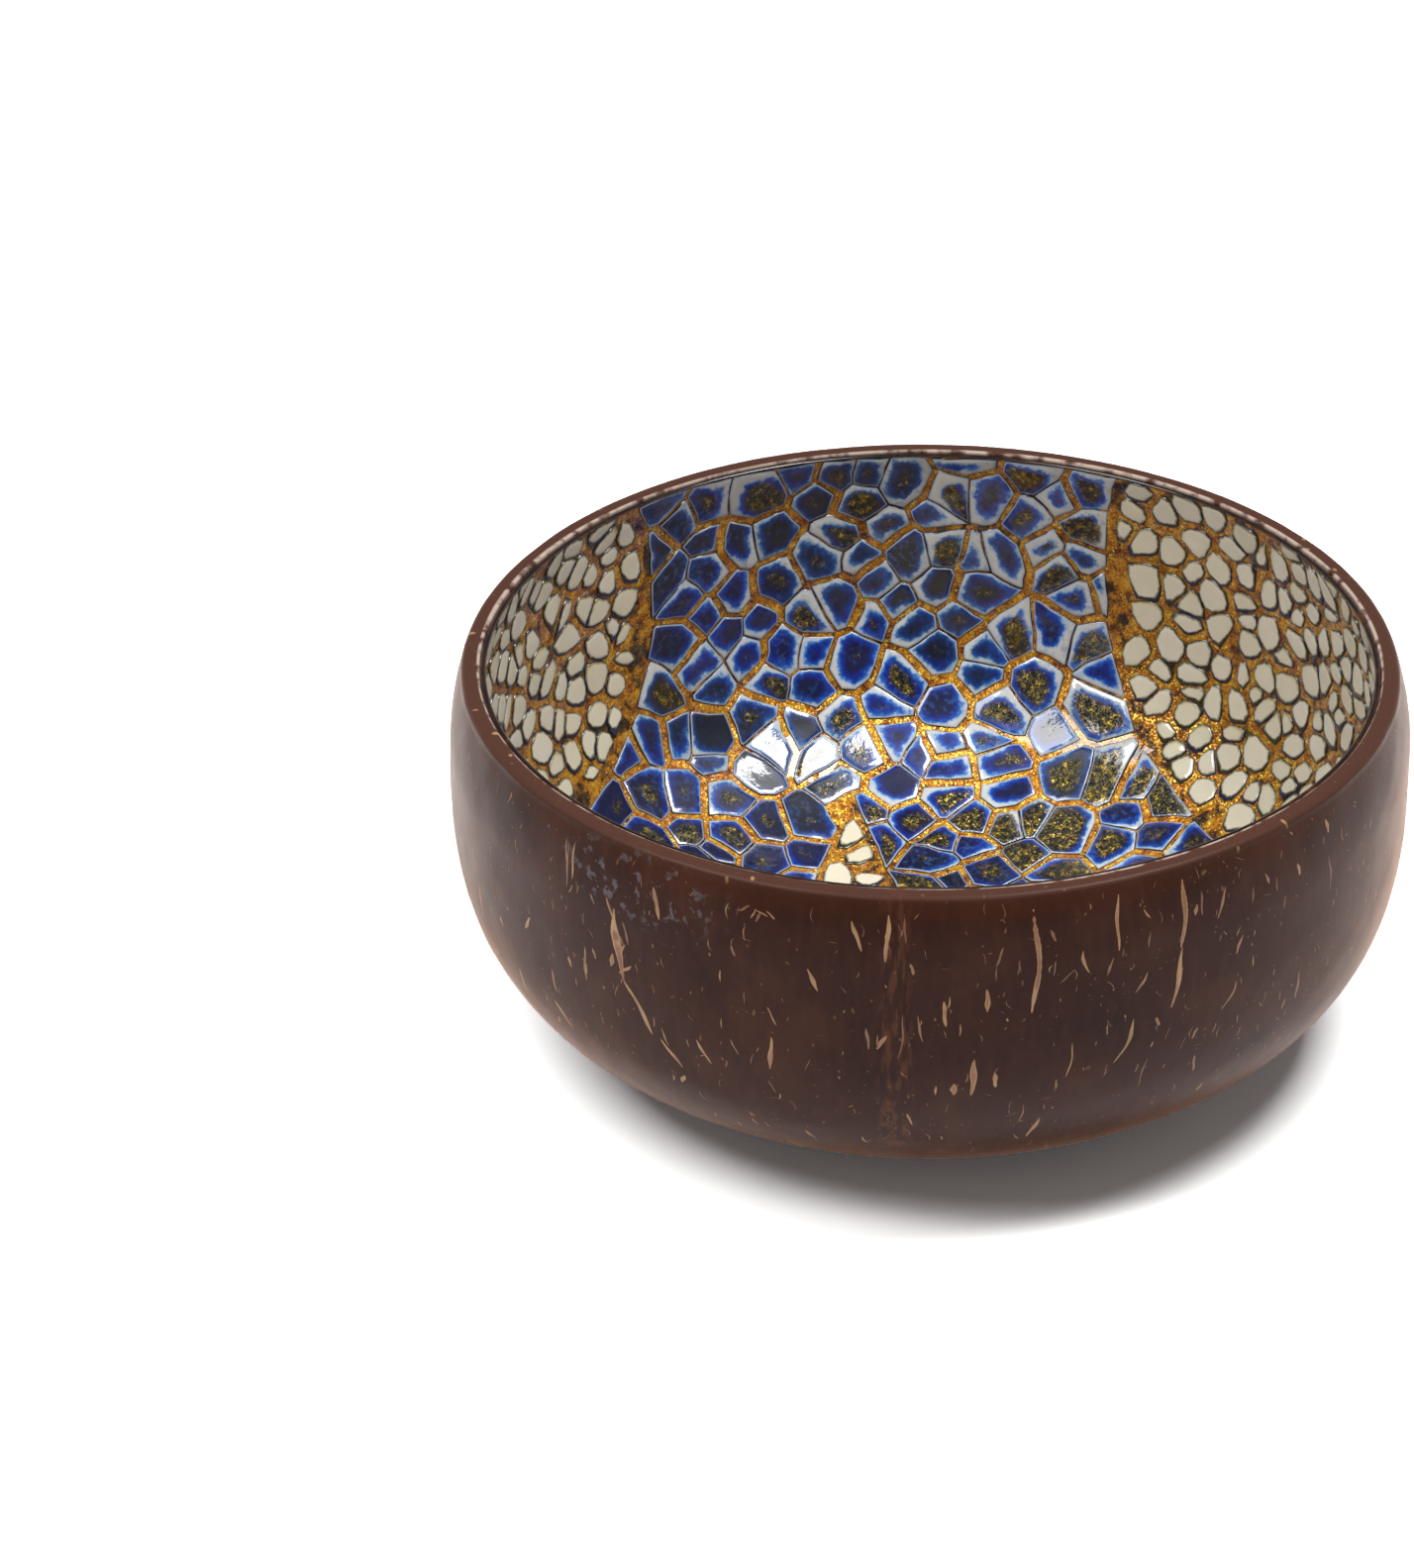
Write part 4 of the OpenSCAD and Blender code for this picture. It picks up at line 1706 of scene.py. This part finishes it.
class CoconutShell(Finish):
    """Polished coconut shell: dense, dark brown, with tan fibre ends and a satin shine.

    Sheen stands in for the light that its fine scratches scatter near the outline.
    """

    name = "polished_coconut_shell"
    browns = ((0.3, "#27120d"), (0.5, "#331812"), (0.7, "#43241a"))
    streaks = ((0.35, "#25110c"), (0.55, "#331b13"), (0.75, "#462a1d"))
    seam = ((-4.0, -63.0, 30.0), (1.0, 0.3, 0.08))
    scuffs = ((-38.0, -52.0, 49.5), (0.8, 0.8, 2.2))
    axis = ((0.0, 0.0, 0.0), (1.0, 1.0, 0.0))
    base_step = (3.5, 0.6)

    @staticmethod
    def rimward(height: Socket, start: float, whole: float) -> tuple[Socket, float, float]:
        """A step up the wall, from one depth below the rim to another, as for a product."""
        return height, CURVE.height - start, CURVE.height - whole

    def flecks(self, size: float, share: float, width: float, stretch: tuple[float, float, float]) -> Socket:
        """Short tan strokes: the hearts of some cells of a pattern that is bent and stretched.

        Args:
            size: spacing in millimetres.
            share: share of the cells that have one.
            width: half width of a stroke as a share of the spacing.
            stretch: scale of the pattern along each axis.

        Returns:
            How much of each place a fleck covers.
        """
        bent = self.add("TexNoise", self.sized(1.7 * size, 1.0), "Color")
        reach = (size * 1.2,) * 3
        shaken = self.add("VectorMath", {0: bent, 1: reach, 2: self.place}, operation="MULTIPLY_ADD")
        drawn = self.add("Mapping", {"Vector": shaken, "Scale": stretch})
        cells = self.add("TexVoronoi", self.sized(size, None, drawn)).node.outputs
        number = self.add("SeparateXYZ", {0: cells["Color"]})
        chosen = self.add("Math", {0: number, 1: share}, operation="LESS_THAN")
        inputs = {"Value": cells["Distance"], "From Min": width, "From Max": width * 0.55}
        return self.product(self.add("MapRange", inputs), chosen)

    def surface(self) -> Socket:
        """Clouded browns and fine streaks, then the coats: from the warm bands and the sanded rim, with a
        painted highlight along its inner edge, to the flecks.

        Returns:
            The shader.
        """
        grain = self.add("Mapping", {"Vector": self.place, "Scale": (1.0, 1.0, 0.22)})
        height = self.add("SeparateXYZ", {0: self.place}, "Z")
        inner_r = CURVE.upper_r(LAYERS.shell_t, CURVE.height)
        clouds = self.shade(self.add("TexNoise", self.sized(13.0, 5.0), "Fac"), self.browns)
        streaks = self.shade(self.add("TexNoise", self.sized(1.3, 5.0, grain), "Fac"), self.streaks)
        colour = self.paint(clouds, streaks, 0.3)
        low = self.product((height, *self.base_step))
        high = self.product(self.rimward(height, 4.5, 1.5), 0.7)
        warm = self.add("Math", {0: low, 1: high}, operation="MAXIMUM")
        # Clouds that break up the painted highlight along the rim's inner edge.
        painted_highlight_breaks = (self.add("TexNoise", self.sized(2.5, 4.0), "Fac"), 0.36, 0.56)
        split = (self.add("TexNoise", self.sized(0.9, 3.0, grain), "Fac"), 0.45, 0.62)
        rubbed = (self.add("TexNoise", self.sized(1.5, 7.0), "Fac"), 0.56, 0.64)
        painted_highlight_edge = (self.distance(*self.axis), inner_r + 0.5, inner_r + 0.2)
        tan = self.paint("#5c3f2e", "#8f6c4b", self.add("TexNoise", self.sized(3.0), "Fac"))
        coats = (
            ("#482612", warm, 0.5),
            ("#54382f", self.rimward(height, 0.8, 0.2), 0.75),
            # A broken pale line along the rim's inner edge: a painted highlight.
            ("#c8b4a6", painted_highlight_edge, self.rimward(height, 0.8, 0.5), painted_highlight_breaks, 0.8),
            ("#603a28", (self.distance(*self.seam), 3.2, 1.28), split, 0.6),
            ("#807d84", (self.distance(*self.scuffs), 14.0, 5.6), rubbed, 0.36),
            (tan, self.flecks(2.2, 0.4, 0.13, (1.0, 1.0, 0.4)), 0.6),
            (tan, self.flecks(1.1, 0.35, 0.16, (1.0, 1.0, 0.7)), 0.6),
            ("#b08a60", self.flecks(3.2, 0.5, 0.13, (1.0, 1.0, 0.2)), self.rimward(height, 1.4, 0.8), 0.8),
        )
        for coat, *shares in coats:
            colour = self.paint(colour, coat, *shares)
        cloudy = self.add("TexNoise", self.sized(5.0, 4.0), "Fac")
        return self.add("BsdfPrincipled", {
            "Base Color": colour,
            "Roughness": self.add("MapRange", {"Value": cloudy, "To Min": 0.28, "To Max": 0.42}),
            "Normal": self.relief(0.5, 0.08, 4.0, grain),
            "IOR": 1.5,
            "Specular IOR Level": 0.08,
            "Sheen Weight": 0.5,
            "Sheen Roughness": 0.3,
            "Sheen Tint": "#f4b890",
        })


class HuskFibre(Finish):
    """A cut husk fibre: tan, with a redder, darker core."""

    name = "tan_husk_fibre"

    def surface(self) -> Socket:
        """Tan by its own tone and width, reddish brown along parts of the middle.

        Returns:
            The shader.
        """
        fibre = self.add("Attribute", out="Vector", attribute_name="fibre")
        core, tone, size = self.add("SeparateXYZ", {0: fibre}).node.outputs
        grain = self.add("Mapping", {"Vector": self.place, "Scale": (1.0, 1.0, 0.12)})
        wide = self.product((size, 0.45, 0.8))
        pale = self.product((tone, 0.35, 1.0))
        bright = self.add("Math", {0: wide, 1: pale}, operation="MAXIMUM")
        streaks = self.add("TexNoise", self.sized(0.35, 3.0, grain), "Fac")
        parts = (self.add("TexNoise", self.sized(4.0), "Fac"), 0.35, 0.6)
        colour = self.paint("#5f3d2b", "#b08a5e", bright)
        colour = self.paint(colour, "#7a5233", streaks, 0.6)
        colour = self.paint(colour, "#713f24", (core, 0.85, 0.35), parts, size, 0.75)
        return self.add("BsdfPrincipled", {"Base Color": colour, "Roughness": 0.5, "IOR": 1.45})


class ClearCoatBead(Finish):
    """Clear lacquer over the dark shell, seen as a deep brown gloss."""

    name = "clear_lacquer_over_shell"
    browns = ((0.35, "#20120d"), (0.55, "#2e1a10"), (0.75, "#5a3412"))

    def surface(self) -> Socket:
        """Deep brown, a little amber in places.

        Returns:
            The shader.
        """
        colour = self.shade(self.add("TexNoise", self.sized(4.0, 3.0), "Fac"), self.browns)
        coat = {**CLEAR_COAT, "Coat Roughness": 0.03}
        return self.add("BsdfPrincipled", {"Base Color": colour, "Roughness": 0.2, **coat})


class Floor(Finish):
    """The pale floor, which keeps the soft shadow of the bowl."""

    name = "pale_floor"
    overexposed = (1.8, 1.8, 1.8, 1.0)

    def surface(self) -> Socket:
        """Matt white, and whiter than white for the camera and reflections, as if overexposed.

        Returns:
            The shader.
        """
        matt = self.add("BsdfDiffuse", {"Color": "#efefef"})
        seen = self.add("BsdfDiffuse", {"Color": self.overexposed})
        ray = self.add("LightPath").node.outputs
        rays = {0: ray["Is Glossy Ray"], 1: ray["Is Transmission Ray"]}
        share = self.add("Math", rays, operation="MAXIMUM")
        share = self.add("Math", {0: ray["Is Camera Ray"], 1: share}, operation="MAXIMUM")
        return self.add("MixShader", {0: share, 1: matt, 2: seen})


@dataclass(frozen=True)
class Lamp:
    """A soft square lamp: its name, its place and size in millimetres, and its power in watts."""

    name: str
    place: tuple[float, float, float]
    size: float
    watts: float

    def build(self) -> None:
        """Hangs the lamp, facing the bowl."""
        data = bpy.data.lights.new(self.name, "AREA")
        data.shape = "SQUARE"
        data.size = self.size * MM
        data.energy = self.watts
        lamp = bpy.data.objects.new(self.name, data)
        aim = Vector((0, 0, CURVE.height / 2)) - Vector(self.place)
        turn = aim.to_track_quat("-Z", "Y").to_matrix().to_4x4()
        lamp.matrix_world = Matrix.Translation(Vector(self.place) * MM) @ turn
        bpy.context.scene.collection.objects.link(lamp)


@dataclass(frozen=True)
class Studio:
    """The camera, the floor, the world's light and the soft lamps."""

    picture_h: float = 1583.0
    sensor: float = 36.0
    focal_px: float = 7300.0
    distance: float = 1000.0
    elevation: float = 30.1
    yaw: float = -0.0306
    pitch: float = 0.0015
    roll: float = -0.0085
    target_share: float = 0.6
    sight: float = 20000.0
    floor_size: float = 6000.0
    horizon: float = 0.55
    zenith: float = 0.07
    dark_from: float = 0.5
    front: float = 0.7
    side_gain: float = 1.1
    lamps: tuple[Lamp, ...] = (
        Lamp("softbox_right", (250.0, -40.0, 660.0), 245.0, 3.9),
        Lamp("softbox_left", (-360.0, -200.0, 600.0), 310.0, 3.2),
    )

    def build_camera(self) -> None:
        """Places the camera: it looks at the axis from a distance, turned a little aside."""
        e = math.radians(self.elevation)
        place = Vector((0, -math.cos(e), math.sin(e))) * self.distance
        forward = (-place).normalized()
        place.z += CURVE.height * self.target_share
        right = Vector((1, 0, 0))
        up = right.cross(forward)
        forward = (forward + self.yaw * right + self.pitch * up).normalized()
        right = forward.cross(Vector((0, 0, 1))).normalized()
        up = right.cross(forward)
        cos, sin = math.cos(self.roll), math.sin(self.roll)
        right, up = cos * right + sin * up, cos * up - sin * right
        data = bpy.data.cameras.new("camera")
        data.sensor_width = self.sensor
        data.lens = self.focal_px / self.picture_h * self.sensor
        data.clip_end = self.sight * MM
        camera = bpy.data.objects.new("camera", data)
        turn = Matrix((right, up, -forward)).transposed().to_4x4()
        camera.matrix_world = Matrix.Translation(place * MM) @ turn
        bpy.context.scene.collection.objects.link(camera)
        bpy.context.scene.camera = camera

    def build_floor(self) -> None:
        """Lays the floor under the bowl."""
        h = self.floor_size * MM / 2
        mesh = bpy.data.meshes.new("floor")
        mesh.from_pydata([(-h, -h, 0), (h, -h, 0), (h, h, 0), (-h, h, 0)], [], [(0, 1, 2, 3)])
        mesh.materials.append(Floor().build())
        floor = bpy.data.objects.new("floor", mesh)
        bpy.context.scene.collection.objects.link(floor)
        floor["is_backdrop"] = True

    def build_world(self) -> None:
        """Soft white light, most of it from low on both sides, white to the camera.

        Its strength falls with the height from the horizon's to the zenith's, and grows with
        the square of the share of the way to either side.
        """
        world = bpy.data.worlds.new("studio")
        world.use_nodes = True
        tree = world.node_tree
        tree.nodes.clear()
        ray = add(tree, "LightPath", out="Is Camera Ray")
        x, _, z = add(tree, "SeparateXYZ", {0: add(tree, "TexCoord", out="Generated")}).node.outputs
        fall = {"Value": z, "From Max": self.dark_from, "To Min": self.horizon, "To Max": self.zenith}
        graded = add(tree, "MapRange", fall)
        square = add(tree, "Math", {0: x, 1: x}, operation="MULTIPLY")
        aside = {0: square, 1: self.side_gain, 2: self.front}
        strength = {0: graded, 1: add(tree, "Math", aside, operation="MULTIPLY_ADD")}
        strength = add(tree, "Math", strength, operation="MULTIPLY")
        light = add(tree, "Background", {"Color": "#ffffff", "Strength": strength})
        white = add(tree, "Background", {"Color": "#ffffff", "Strength": 1.0})
        add(tree, "OutputWorld", {"Surface": add(tree, "MixShader", {0: ray, 1: light, 2: white})})
        bpy.context.scene.world = world

    def build(self) -> None:
        """Builds the studio."""
        self.build_camera()
        self.build_floor()
        self.build_world()
        for lamp in self.lamps:
            lamp.build()
        bpy.context.scene.view_settings.view_transform = "Standard"


BED = Bed(CURVE, LAYERS.bed_depth, LINING_TOP)


def corners() -> list[list[float]]:
    """The lowest and highest corner of what is shown, as plain numbers."""
    return [[float(v) for v in corner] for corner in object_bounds()]


def main() -> None:
    """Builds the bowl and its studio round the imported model."""
    logging.basicConfig(level=logging.INFO, format="%(message)s")
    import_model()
    Studio().build()
    Shell().build(CoconutShell().build())
    Fibres().build(HuskFibre().build())
    layout = Layout(BED)
    lining = Lining()
    lining.build_ground(GoldLacquer().build(), layout)
    lining.build_bead(ClearCoatBead().build())
    Mosaic(layout).build({"blue": BlueEggshell().build(), "white": WhiteEggshell().build()})


if __name__ == "__main__":
    main()
